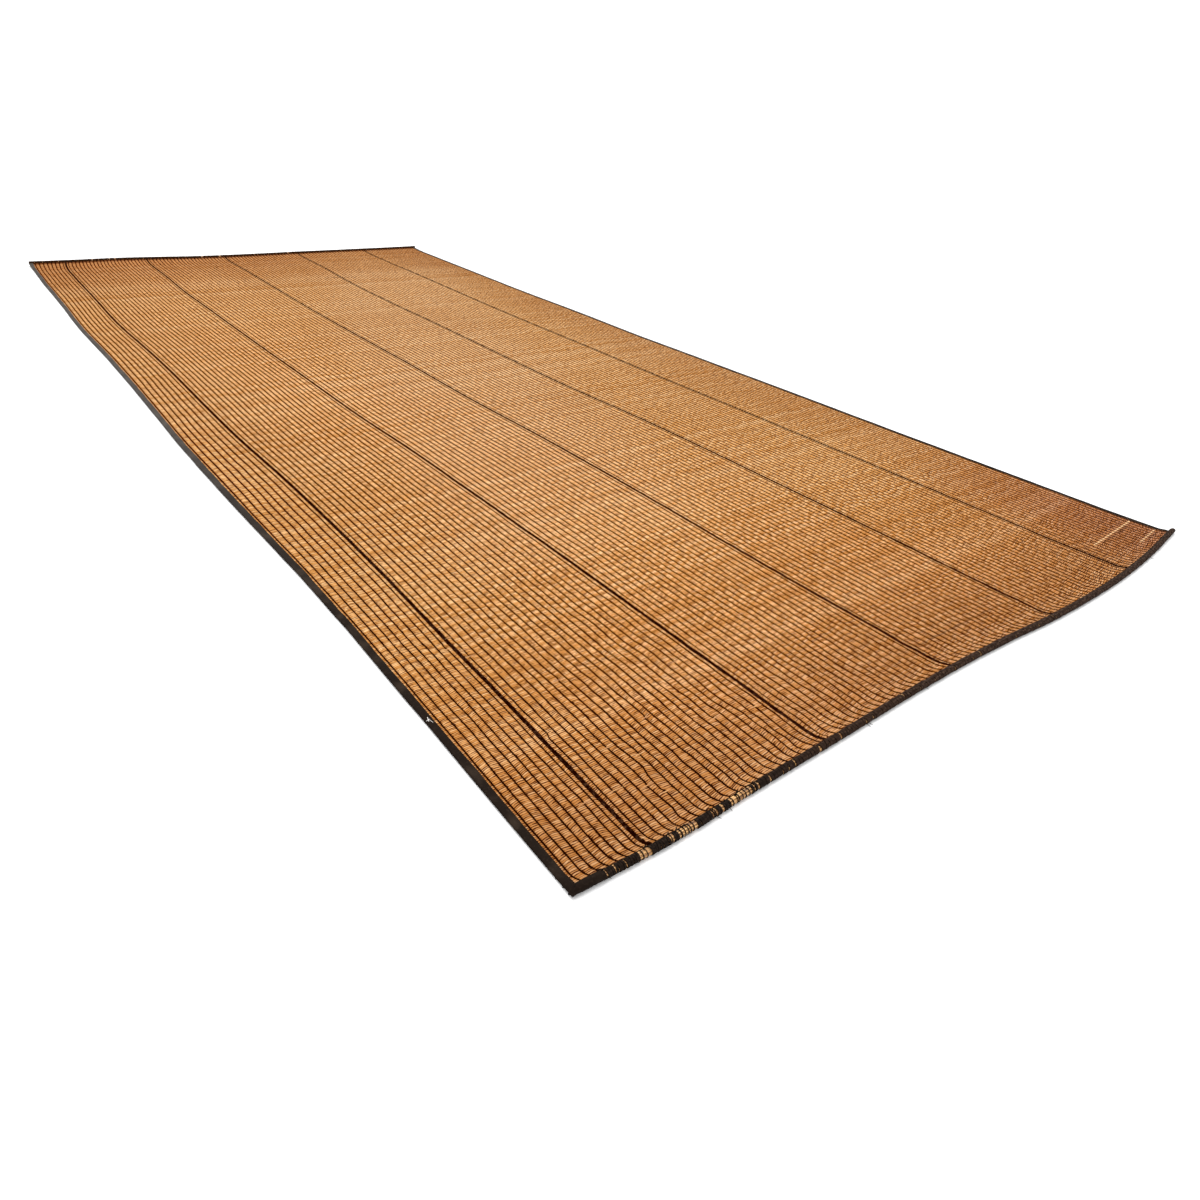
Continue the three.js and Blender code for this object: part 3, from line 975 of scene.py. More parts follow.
@dataclass(frozen=True)
class ReedFinish:
    """Golden reeds drawn together by thongs, with stains, tints, and painted shade and sheen."""

    pitch: float = 0.0052
    slant: float = 1.6
    sway: float = 3.0
    uneven: float = 0.55
    per_row: float = 0.9
    middle_tone: float = 0.66
    dyed: float = 0.26
    streaked: float = 0.62
    patchy: float = 0.10
    smudged: float = 0.06
    paler_far: float = 0.03
    # Painted highlight: reeds lighter on their crowns between the thongs, darker towards them
    crown_highlight: float = 0.07
    # Width of the painted shade in the gaps between reeds, and how much it widens where they open
    gap_shade_width: float = 0.20
    gap_shade_opens: float = 0.30
    speck_length: float = 0.008
    # Where the thong's colour is painted on the reeds under each thong; beside a thin thong it shows as
    # painted contact shade
    under_thong: tuple = (0.13, 0.28)
    sheen: float = 0.06
    depth: float = 0.0012

    # Where the tints and painted shade begin and end, in rows across the mat and metres along it
    left_rows: tuple = (6.0, 34.0)
    right_rows: tuple = (98.0, 126.0)
    near_from_to: tuple = (0.0, 1.2)
    near_end_from_to: tuple = (0.02, 0.45)
    far_end_from_to: tuple = (4.5, 6.2)
    far_roll_shade_and_thongs_from_to: tuple = (6.02, 6.08)

    # Painted band of sheen: its row at the near end, rows it crosses in a metre, half its rows, its
    # strength
    sheen_band_row: float = 30.0
    sheen_band_turn: float = 12.8
    sheen_band_rows: float = 30.0
    painted_sheen: float = 0.05

    # Colours
    tones: tuple = (
        (0.00, (0.170, 0.048, 0.006)),
        (0.30, (0.390, 0.145, 0.026)),
        (0.60, (0.590, 0.262, 0.066)),
        (1.00, (0.960, 0.650, 0.340)),
    )
    # Painted shade in the gaps between reeds
    gap: tuple = (0.10, 0.016, 0.001)
    # Painted shade on the reeds' flanks beside the thongs
    flank_shade: tuple = (0.34, 0.088, 0.006)
    speck: tuple = (0.14, 0.05, 0.02)
    # Thong colour painted under each thong, showing as painted contact shade beside it
    thong: tuple = (0.016, 0.002, 0.000)
    # Darker towards the near end and the right side
    near_and_right_tint: tuple = (0.67, 0.51, 0.42)
    left_border: tuple = (0.90, 0.89, 0.86)
    far_end: tuple = (0.75, 0.62, 0.55)
    near_end: tuple = (0.82, 0.82, 0.88)
    # Painted shade of the far roll on the reeds in front of it, with the dark of the thongs that gather
    # there
    far_roll_shade_and_thongs: tuple = (0.25, 0.14, 0.08)
    right_corner: tuple = (0.95, 0.95, 1.25)
    # Pale colour of a painted band of sheen, standing for light reflected off the reeds
    sheen_colour: tuple = (0.80, 0.66, 0.50)

    def make(self, origin: Array) -> bpy.types.Material:
        """Makes the material.

        Args:
            origin: Place of the near left corner in the shared frame.

        Returns:
            The material, which reads the UV map "reeds".
        """
        tree = Tree("golden_reeds")
        line, along = tree.chart("reeds")
        cell = line.floor()
        bulge = ((line - cell) * math.pi).sine().held()
        run = self.reed_number(tree, line, along)
        edge, dye = self.single_reeds(tree, run)
        fibre = tree.cloud(line * self.per_row, run * 3.0)
        patch = tree.cloud(line * 0.10, along * 2.2, 3.0)
        smudge = tree.cloud(line * 0.8, along * 26.0, 6.0)
        shades = (dye - 0.5) * self.dyed + (fibre - 0.5) * self.streaked
        shades = shades + (patch - 0.5) * self.patchy + (smudge - 0.5) * self.smudged
        paler = along.above(0.8, 3.0) * self.paler_far
        # The last term is a painted highlight on the crowns and painted shade towards the thongs
        tone = self.middle_tone + paler + shades + (bulge.above(0.35, 1.0) - 0.5) * self.crown_highlight
        colour = tree.node("ShaderNodeValToRGB", {"stops": self.tones}, {0: tone.held()})
        # Painted shade in the gaps between reeds, wider where they open
        opened = tree.cloud(line * self.per_row, run * 0.9, 5.0).above(0.44, 0.58)
        width = self.gap_shade_width + opened * self.gap_shade_opens
        gap = (1 - (edge / width).above(0.15, 1.0)) * (0.62 + opened * 0.38)
        colour = tree.mix(gap, colour, self.gap, "MULTIPLY")
        # Painted shade on the reeds' flanks where they dip towards the thongs, stronger further along
        away = along.above(0.4, 2.4)
        flank_shade_weight = 0.62 + tree.cloud(line * self.per_row, along * 3.0, 4.0) * 0.8 + away * 0.3
        flank_shade_mask = 1 - bulge.above(0.05, away * 0.20 + 0.48)
        colour = tree.mix((flank_shade_mask * flank_shade_weight).held(), colour, self.flank_shade, "MULTIPLY")
        speck = tree.cloud(cell * 9.7, along / self.speck_length, 2.0, detail=0.0).above(0.66, 0.74)
        colour = tree.mix(speck * (1 - bulge.above(0.3, 0.75)), colour, self.speck, "MULTIPLY")
        # Thong colour painted under each thong, showing as painted contact shade beside it
        colour = tree.mix(1 - bulge.above(*self.under_thong), colour, self.thong)
        colour = tree.marked(self.tinted_with_painted_light(tree, colour, line, along), REED_MARKS, origin)
        return tree.finish({
            "Base Color": colour,
            "Roughness": 0.66 + fibre * 0.2,
            "Specular IOR Level": 0.0,
            "Coat Weight": (1 - gap) * bulge.above(0.3, 0.9) * self.sheen,
            "Coat Roughness": 0.45,
            "Normal": tree.bump((edge * 2.2).held() ** 0.5, self.depth),
        })

    def reed_number(self, tree: Tree, line: Value, along: Value) -> Value:
        """Numbers the reeds along the mat, which lean and wander from row to row.

        Args:
            tree: The material's nodes.
            line: Number of the thong line.
            along: Place along the mat.

        Returns:
            The number, with its fraction within one reed.
        """
        cell = line.floor()
        dice = tree.node("ShaderNodeTexWhiteNoise", {"noise_dimensions": "1D"}, {"W": cell}, "Color")
        first, second = (tree.value("ShaderNodeSeparateColor", None, {0: dice}, i) for i in (0, 1))
        lean = tree.cloud(cell * 7.31, along * 14.0) - 0.5 + (first - 0.5) * 0.3
        sway = tree.cloud(line * 0.13, along * 5.0, detail=2.0) * self.sway
        crook = tree.cloud(line * 1.3, along / (self.pitch * 3.0), 9.0) * 0.5
        slanted = (line - cell - 0.5) * lean * (2 * self.slant)
        return along / self.pitch + slanted + second * 7.0 + sway + crook

    def single_reeds(self, tree: Tree, run: Value) -> tuple[Value, Value]:
        """Tells the reeds apart.

        Args:
            tree: The material's nodes.
            run: Number of the reed.

        Returns:
            How far a place lies from the reed's edge, and the reed's own shade from 0 to 1.
        """
        kind, cells = "ShaderNodeTexVoronoi", {"voronoi_dimensions": "1D"}
        sockets = {"W": run, "Scale": 1.0, "Randomness": self.uneven}
        edge = tree.value(kind, {**cells, "feature": "DISTANCE_TO_EDGE"}, sockets, "Distance")
        dyed = tree.node(kind, {**cells, "feature": "F1"}, sockets, "Color")
        return edge, tree.value("ShaderNodeSeparateColor", None, {0: dyed}, 0)

    def tinted_with_painted_light(self, tree: Tree, colour: Socket, line: Value, along: Value) -> Socket:
        """Tints the reeds darker near the ends and sides, and paints shade and sheen on them.

        Args:
            tree: The material's nodes.
            colour: Colour before the tints.
            line: Number of the thong line.
            along: Place along the mat.

        Returns:
            The tinted colour.
        """
        cloud = tree.cloud(line * 0.05, along * 1.2, 7.0)
        near = 1 - along.above(*self.near_from_to)
        right = line.above(*self.right_rows)
        # A pale band across the middle: painted sheen, standing for light reflected off the reeds
        off_sheen_band = line - (along * self.sheen_band_turn + self.sheen_band_row) + (cloud - 0.5) * 16.0
        streak = 1 - (off_sheen_band * off_sheen_band).above(0.0, self.sheen_band_rows**2)
        streak = streak * along.above(0.7, 1.8) * (1 - along.above(4.6, 5.8))
        far_left = 1 - line.above(60.0, 110.0) * 0.35
        tints = (
            (self.near_and_right_tint, near * 0.55 + right * 0.35 + (cloud - 0.5) * 0.4),
            (self.left_border, 1 - line.above(*self.left_rows)),
            (self.near_end, 1 - along.above(*self.near_end_from_to)),
            (self.far_end, along.above(*self.far_end_from_to) * far_left),
            # Painted shade of the far roll, with the dark of the thongs that gather there
            (self.far_roll_shade_and_thongs, along.above(*self.far_roll_shade_and_thongs_from_to)),
            (self.right_corner, right * near),
        )
        for tint, share in tints:
            colour = tree.mix(share.held(), colour, tint, "MULTIPLY")
        return tree.mix(streak * self.painted_sheen, colour, self.sheen_colour)


ROLL_REED_TONES = (
    (0.0, (0.050, 0.018, 0.004)),
    (0.4, (0.300, 0.130, 0.036)),
    (1.0, (0.840, 0.500, 0.190)),
)
STRAY_REED_TONES = (
    (0.0, (0.260, 0.090, 0.018)),
    (0.5, (0.440, 0.190, 0.048)),
    (1.0, (0.680, 0.370, 0.130)),
)


@dataclass(frozen=True)
class LooseReedFinish:
    """Single reeds, shaded along their length."""

    name: str
    tones: tuple
    grain: tuple = (30, 420, 420)
    depth: float = 0.0006

    def make(self) -> bpy.types.Material:
        """Makes the material from the place on the roll."""
        tree = Tree(self.name)
        here = tree.place()
        stretched = tree.node("ShaderNodeMapping", None, {"Vector": here, "Scale": self.grain})
        streak = tree.noise(stretched, 1.0, 3.0)
        colour = tree.node("ShaderNodeValToRGB", {"stops": self.tones}, {0: streak.above(0.25, 0.75)})
        return tree.finish({
            "Base Color": colour,
            "Roughness": 0.40 + streak * 0.25,
            "Normal": tree.bump(streak, self.depth),
        })


@dataclass(frozen=True)
class LeatherFinish:
    """Dark goatskin, dry and a little rubbed."""

    name: str
    deep: tuple
    worn: tuple
    marks: tuple = ()
    dusty: tuple = (0.105, 0.095, 0.085)
    dusty_from_to: tuple = (0.9, 3.2)
    crease: float = 160.0
    wear: float = 14.0
    grain: float = 900.0
    depth: float = 0.0005
    rough: float = 0.6

    def make(self, origin: Array) -> bpy.types.Material:
        """Makes the material from the place on the piece.

        Args:
            origin: Place of the near left corner in the shared frame.

        Returns:
            The material.
        """
        tree = Tree(self.name)
        here = tree.place()
        pores = {"Vector": here, "Scale": self.grain}
        grain = tree.value("ShaderNodeTexVoronoi", {"feature": "DISTANCE_TO_EDGE"}, pores, "Distance")
        crease = tree.noise(here, self.crease, 4.0)
        wear = tree.noise(here, self.wear, 5.0)
        rubbed = wear.above(0.48, 0.72) * 0.6 + crease.above(0.5, 0.8) * 0.4
        height = grain.held() * 0.6 + crease
        leather = tree.mix(rubbed.held(), self.deep, self.worn)
        along = tree.axis(here, 1) - float(origin[1])
        leather = tree.mix(along.above(*self.dusty_from_to) * (0.2 + wear * 0.6), leather, self.dusty)
        return tree.finish({
            "Base Color": tree.marked(leather, self.marks, origin),
            "Roughness": self.rough + crease * 0.2,
            "Specular IOR Level": 0.03,
            "Normal": tree.bump(height, self.depth),
        })


@dataclass(frozen=True)
class WoundFinish:
    """Dark lace wound in turns, rubbed on its ridges, with painted shade darkening the creases between
    turns.
    """

    name: str = "near_lace"
    # Painted shade in the creases between turns
    deep: tuple = (0.005, 0.002, 0.001)
    plain: tuple = (0.020, 0.010, 0.006)
    worn: tuple = (0.095, 0.058, 0.040)
    black: tuple = (0.008, 0.005, 0.0035)
    black_to: float = 0.45
    rubbed_from_to: tuple = (0.45, 1.3)
    crease: float = 220.0
    depth: float = 0.0012

    def make(self, origin: Array) -> bpy.types.Material:
        """Makes the material, which reads the UV map "turn".

        Args:
            origin: Place of the near left corner in the shared frame.

        Returns:
            The material, more rubbed away from the left corner.
        """
        tree = Tree(self.name)
        side, angle = tree.chart("turn")
        here = tree.place()
        crease = tree.noise(here, self.crease, 4.0)
        patch = tree.cloud(side * 0.2, angle * 1.3, 0.0, detail=3.0)
        ridge = 1 - (side * side + (crease - 0.5) * 0.5).above(0.25, 0.95)
        across = tree.axis(here, 0) - float(origin[0])
        handled = 0.25 + across.above(*self.rubbed_from_to) * 0.75
        rubbed = ((patch.above(0.42, 0.72) * 0.8 + (crease - 0.5) * 0.8) * handled).held()
        colour = tree.mix(across.above(self.black_to, self.black_to + 0.3), self.black, self.plain)
        colour = tree.mix(rubbed, colour, self.worn)
        return tree.finish({
            # The creases between turns get the deep colour as painted shade
            "Base Color": tree.mix(1 - ridge, colour, self.deep),
            "Roughness": 0.6 + crease * 0.2,
            "Specular IOR Level": 0.03,
            "Normal": tree.bump(ridge * 0.7 + crease * 0.3, self.depth),
        })


@dataclass(frozen=True)
class ThongFinish:
    """Thin dark lace, twined in slanted stitches."""

    name: str
    stitch: float
    deep: tuple = (0.010, 0.001, 0.000)
    worn: tuple = (0.026, 0.006, 0.001)
    dust: float = 120.0
    depth: float = 0.0007

    def make(self) -> bpy.types.Material:
        """Makes the material, which reads the UV map "lace"."""
        tree = Tree(self.name)
        side, along = tree.chart("lace")
        turn = ((along / self.stitch + side * 0.5) * (2 * math.pi)).sine() * 0.5 + 0.5
        dust = tree.noise(tree.place(), self.dust, 3.0)
        colour = tree.mix(dust.above(0.45, 0.75) * (0.35 + turn * 0.65), self.deep, self.worn)
        return tree.finish({
            "Base Color": colour,
            "Roughness": 0.6 + dust * 0.2,
            "Specular IOR Level": 0.0,
            "Normal": tree.bump(turn, self.depth),
        })


@dataclass(frozen=True)
class PlainFinish:
    """One even pale surface, for the floor."""

    name: str = "white_floor"
    colour: tuple = (0.9, 0.9, 0.9)
    rough: float = 1.0

    def make(self) -> bpy.types.Material:
        """Makes the material."""
        sockets = {"Base Color": self.colour, "Roughness": self.rough, "Specular IOR Level": 0.0}
        return Tree(self.name).finish(sockets)


class Workshop:
    """What all pieces share: the plan, how the mat lies, its rows and its finishes."""

    def __init__(self) -> None:
        """Works out the rows and makes every finish once."""
        self.plan = Plan()
        self.lie = Lie(self.plan)
        self.lines = RowLines(self.plan)
        self.stations = Stations(self.plan.reeds_start, self.plan.length - self.plan.reeds_start)
        corner = self.lie.origin
        self.reeds = ReedFinish().make(corner)
        self.roll_reeds = LooseReedFinish("roll_reeds", ROLL_REED_TONES).make()
        self.stray_reeds = LooseReedFinish("stray_reeds", STRAY_REED_TONES).make()
        self.fine_thong = ThongFinish("fine_thong", 0.0062).make()
        self.thick_thong = ThongFinish("thick_thong", 0.0110, worn=(0.075, 0.034, 0.018)).make()
        self.binding = LeatherFinish(
            "binding_leather", (0.010, 0.006, 0.004), (0.038, 0.026, 0.018), BINDING_MARKS
        ).make(corner)
        self.near_lace = WoundFinish().make(corner)
        self.far_lace = WoundFinish(
            "far_lace", (0.012, 0.005, 0.002), (0.035, 0.014, 0.005), (0.070, 0.030, 0.012), black_to=-1.0
        ).make(corner)

    def lay(self, piece: Piece, across: Array, along: Array, height: Array) -> None:
        """Moves the points of a piece to places on the plan, and from there to where the mat lies."""
        Bench.move(piece, self.lie.settle(np.stack(np.broadcast_arrays(across, along, height), axis=1)))

    def deliver(self, piece: Piece, finish: bpy.types.Material, slot: str, *nodes: str) -> None:
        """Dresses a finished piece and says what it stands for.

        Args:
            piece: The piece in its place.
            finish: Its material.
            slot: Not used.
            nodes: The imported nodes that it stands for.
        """
        piece.data.materials.clear()
        piece.data.materials.append(finish)
        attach(piece, BODY)
        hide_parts(*nodes)
        log.info("%s: %d faces, stands for %s", piece.name, len(piece.data.polygons), ", ".join(nodes))


@dataclass
class ReedPanel:
    """The reeds between two thick rows, or between one and a long side."""

    shop: Workshop
    number: int
    first_line: int
    last_line: int
    parted: float = 0.0003
    relief: float = 0.0002
    bundle: float = 0.013
    flap_clearance: float = 0.002
    flap_slope: float = 0.028

    PLAIN_STEPS = (0.0, 0.25, 0.5, 0.75)
    AFTER_THICK = (0.0, 0.30, 0.58, 0.80)
    BEFORE_THICK = (0.0, 0.20, 0.42, 0.70)
    UNDER_ROWS = 0.0007
    UNDER_THICK = 0.26

    def columns(self) -> Array:
        """Line numbers, with fractions, of the panel's columns of points."""
        thick = set(self.shop.plan.thick_lines())
        numbers = []
        for line in range(self.first_line, self.last_line):
            steps = self.PLAIN_STEPS
            if line in thick:
                steps = self.AFTER_THICK
            elif line + 1 in thick:
                steps = self.BEFORE_THICK
            numbers += [line + step for step in steps]
        return np.array([*numbers, self.last_line])

    def valleys(self) -> Array:
        """Height of the reeds at every line."""
        plan = self.shop.plan
        heights = np.full(self.shop.lines.count + 1, plan.fine_valley)
        heights[plan.thick_lines()] = plan.thick_valley
        heights[[0, -1]] = plan.edge_height
        return heights

    def drawn(self, line: Array) -> Array:
        """Line numbers with the strip under a thick row counted as its own line.

        Args:
            line: Line numbers with their fractions.

        Returns:
            One number for each of them.
        """
        thick = np.array(self.shop.plan.thick_lines())
        cell = np.minimum(np.floor(line), self.last_line - 1)
        share, open_part = line - cell, 1 - self.UNDER_THICK
        share = np.where(np.isin(cell, thick), (share - self.UNDER_THICK) / open_part, share)
        share = np.where(np.isin(cell + 1, thick), share / open_part, share)
        return cell + np.clip(share, 0.0, 1.0)

    def top(self, line: Array, along: Array) -> Array:
        """Height of the reeds over the floor.

        Args:
            line: Line number with its fraction.
            along: Place along the mat.

        Returns:
            One height for each place.
        """
        valley = np.interp(line, np.arange(self.shop.lines.count + 1), self.valleys())
        swell = np.abs(np.sin(np.pi * self.drawn(line))) ** 0.5
        bundles = Ripple(21).at(np.floor(line) * 1.37 + 0.5, along / self.bundle)
        crown = self.shop.plan.crown + self.relief * bundles
        return valley + (crown - valley) * swell + self.shop.plan.climb(along)

    def under(self, line: Array, across: Array) -> Array:
        """Height of the underside: on the floor, and raised over the lower flaps.

        Args:
            line: Line number with its fraction.
            across: Place across the mat.

        Returns:
            One height for each place.
        """
        plan = self.shop.plan
        from_edge = np.minimum(across, plan.width - across)
        from_flap = from_edge - plan.lower_flap - self.flap_clearance
        over_flap = 1 - smooth_step(from_flap / self.flap_slope)
        share = line - np.floor(line)
        ribs = self.UNDER_ROWS * (1 - np.sin(np.pi * share) ** 0.7)
        return np.maximum(plan.edge_inset * over_flap, ribs)

    def build(self) -> None:
        """Models the panel and lays it down."""
        shop, columns = self.shop, self.columns()
        bays = len(columns) - 1
        piece = Bench.open_sheet(f"reed_panel_{self.number}", bays, shop.stations.count)
        Bench.thicken(piece, 1.0, -1.0)
        x, y, z = Bench.points(piece).T
        line = np.interp(x * bays, np.arange(bays + 1), columns)
        along = shop.stations.at(y)
        across = shop.lines.across(line, along)
        across = across + self.parted * (x < NEARLY) * (self.number > 1)
        across = across - self.parted * (x > 1 - NEARLY) * (self.last_line < shop.lines.count)
        height = np.where(z > -0.5, self.top(line, along), self.under(line, across))
        shop.lay(piece, across, along, height)
        Bench.chart(piece, "reeds", self.drawn(line), along)
        Bench.smooth(piece, SHEET_ANGLE)
        shop.deliver(piece, shop.reeds, "reeds", "reed_field")


@dataclass
class FineThongs:
    """The fine thong rows of one panel."""

    shop: Workshop
    number: int
    rows: range
    width: float = 0.0038
    thickness: float = 0.0015
    top: float = 0.70
    worn: float = 0.45
    worn_over: float = 0.013

    def build(self) -> None:
        """Models one thong, copies it to every row and lays the rows down."""
        shop = self.shop
        pattern = Bench.lane("thong_pattern", (Stations.BAYS_OUTER, Stations.BAYS_INNER), self.top)
        x, y, z = Bench.points(pattern).T
        along = shop.stations.at(y)
        height = shop.plan.fine_valley + shop.plan.climb(along) + z * self.thickness
        wear = Ripple(31)
        copies = []
        for row in self.rows:
            thong = Bench.copy(pattern)
            slack = 1 + self.worn * wear.at(row * 1.7, along / self.worn_over)
            shop.lay(thong, shop.lines.across(float(row), along) + x * self.width * slack, along, height)
            Bench.chart(thong, "lace", x + 0.37 * row, along)
            copies.append(thong)
        piece = Bench.gather(pattern, copies, f"fine_thongs_{self.number}", THONG_ANGLE)
        shop.deliver(piece, shop.fine_thong, "thong")


@dataclass
class ThickThong:
    """One thick row: two laces twined side by side."""

    shop: Workshop
    number: int
    line: int
    width: float = 0.0096
    height: float = 0.0024
    stitch: float = 0.013
    ragged: float = 0.0022
    ragged_over: float = 0.006
    past_reeds: float = 0.003
    sway: float = 0.0006
    heave: float = 0.0005

    BAYS = (34, 20)
    LACE_WIDTH = 0.52
    LACE_MIDDLE = 0.24

    def build(self) -> None:
        """Models the row and lays it down."""
        shop, plan = self.shop, self.shop.plan
        start = plan.reeds_start - self.past_reeds
        stations = Stations(start, plan.length - start)
        halves = []
        for side in (-1, 1):
            half = Bench.lane("lace_pattern", self.BAYS, 0.6)
            x, y, z = Bench.points(half).T
            along = stations.at(y)
            twist = np.sin(2 * np.pi * (along / self.stitch + 0.25 * (side + 1)))
            edge = self.ragged * Ripple(33).at(self.line + 0.5 * side, along / self.ragged_over)
            lean = side * self.width * self.LACE_MIDDLE + self.sway * twist + edge * (x * side > 0)
            across = shop.lines.across(float(self.line), along) + lean + x * self.width * self.LACE_WIDTH
            rise = z * (self.height + self.heave * twist * side)
            shop.lay(half, across, along, plan.thick_valley + plan.gap + plan.climb(along) + rise)
            Bench.chart(half, "lace", x * side, along)
            halves.append(half)
        piece = Bench.join(halves, f"twined_row_{self.number}")
        Bench.smooth(piece, THONG_ANGLE)
        shop.deliver(piece, shop.thick_thong, "thong", f"thick_row_{self.number}")


@dataclass
class Binding:
    """Strip of leather folded over a long side."""

    shop: Workshop
    side: Side
    ragged: float = 0.0014
    ragged_over: float = 0.045
    wavy: float = 0.0012
    wavy_over: float = 0.11
    lifted: float = 0.0001
    buckled: float = 0.0004
    buckled_over: float = 0.035
    past_fold: float = 0.0005

    LOWER_COLUMNS = 4
    FOLD_COLUMNS = 8
    UPPER_COLUMNS = 6

    def fold(self, share: Array, along: Array) -> tuple[Array, Array]:
        """Middle of the leather round its fold, which takes in the edge of the reeds.

        Args:
            share: Share of the strip's columns, from the lower edge to the upper.
            along: Place along the mat.

        Returns:
            Distance from the long side, and height over the floor.
        """
        plan = self.shop.plan
        lower, bend, upper = self.LOWER_COLUMNS, self.FOLD_COLUMNS, self.UPPER_COLUMNS
        column = share * (lower + bend + upper)
        on_lower = np.clip(column / lower, 0, 1)
        on_bend = np.clip((column - lower) / bend, 0, 1)
        on_upper = np.clip((column - lower - bend) / upper, 0, 1)
        radius = (plan.edge_height + plan.gap + plan.climb(along)) / 2
        middle = radius + plan.leather / 2
        edge = self.ragged * Ripple(41).at(along / self.ragged_over, 3.5 + 9.0 * (self.side is Side.LEFT))
        angle = -math.pi / 2 - math.pi * on_bend
        lower_reach = plan.lower_flap - middle
        upper_reach = plan.upper_flap + edge - middle
        x = middle + lower_reach * (1 - on_lower) + radius * np.cos(angle) + upper_reach * on_upper
        return x, middle + radius * np.sin(angle)

    def build(self) -> None:
        """Models the strip flat, folds it and lays it down."""
        shop, plan, is_left = self.shop, self.shop.plan, self.side is Side.LEFT
        columns = self.LOWER_COLUMNS + self.FOLD_COLUMNS + self.UPPER_COLUMNS
        piece = Bench.open_sheet(f"folded_binding_{self.side.value}", columns, shop.stations.count)
        x, y, _ = Bench.points(piece).T
        along = shop.stations.at(y)
        inwards, height = self.fold(x, along)
        if is_left:
            along = np.where(y < NEARLY, inwards - self.past_fold, along)
            along = np.where(y > 1 - NEARLY, plan.length - inwards + self.past_fold, along)
        wave = self.wavy * Ripple(42).at(along / self.wavy_over, 5.5 if is_left else 8.5)
        inwards = inwards + wave
        across = inwards if is_left else plan.width - inwards
        buckles = 1 + Ripple(43).at(along / self.buckled_over, x * 3)
        shop.lay(piece, across, along, height + self.lifted + self.buckled * buckles)
        Bench.thicken(piece, plan.leather, 0.0)
        Bench.smooth(piece, SHEET_ANGLE)
        shop.deliver(piece, shop.binding, "binding", f"{self.side.value}_binding")


@dataclass(frozen=True)
class Stretch:
    """A length of a roll that still carries its leather."""

    node: str
    start: float
    end: float
    lace: float = 0.0085


NEAR_STRETCHES = (
    Stretch("near_wrap_1", 0.083, 0.162, 0.0058),
    Stretch("near_wrap_2", 0.190, 0.237, 0.0058),
    Stretch("near_wrap_3", 0.248, 0.268, 0.0050),
    Stretch("near_wrap_4", 0.308, 0.349, 0.0075),
    Stretch("near_wrap_5", 0.363, 0.402, 0.0050),
    Stretch("near_wrap_6", 0.466, 2.838, 0.0095),
)

# Places across the mat of slits in the near roll's leather, loops on its bare reeds, and small knots
NEAR_TICKS = (
    0.103, 0.128, 0.262, 0.379, 0.475, 0.486, 0.522,
    0.602, 0.686, 0.761, 1.019, 1.257, 1.377, 1.765,
)
NEAR_LOOPS = (
    0.170, 0.180, 0.242, 0.275, 0.283, 0.289, 0.298, 0.353,
    0.358, 0.409, 0.422, 0.427, 0.438, 0.447, 0.457,
)
NEAR_KNOTS = (0.074, 0.183, 0.239, 0.260, 0.281, 0.352, 0.392, 0.430, 0.478)

FAR_STRETCHES = (
    Stretch("far_wrap_1", 0.002, 0.359),
    Stretch("far_wrap_2", 0.371, 0.470),
    Stretch("far_wrap_3", 0.480, 0.504),
    Stretch("far_wrap_4", 0.516, 1.078),
    Stretch("far_wrap_5", 1.092, 1.203),
    Stretch("far_wrap_6", 1.217, 1.704),
    Stretch("far_wrap_7", 1.718, 2.800),
)


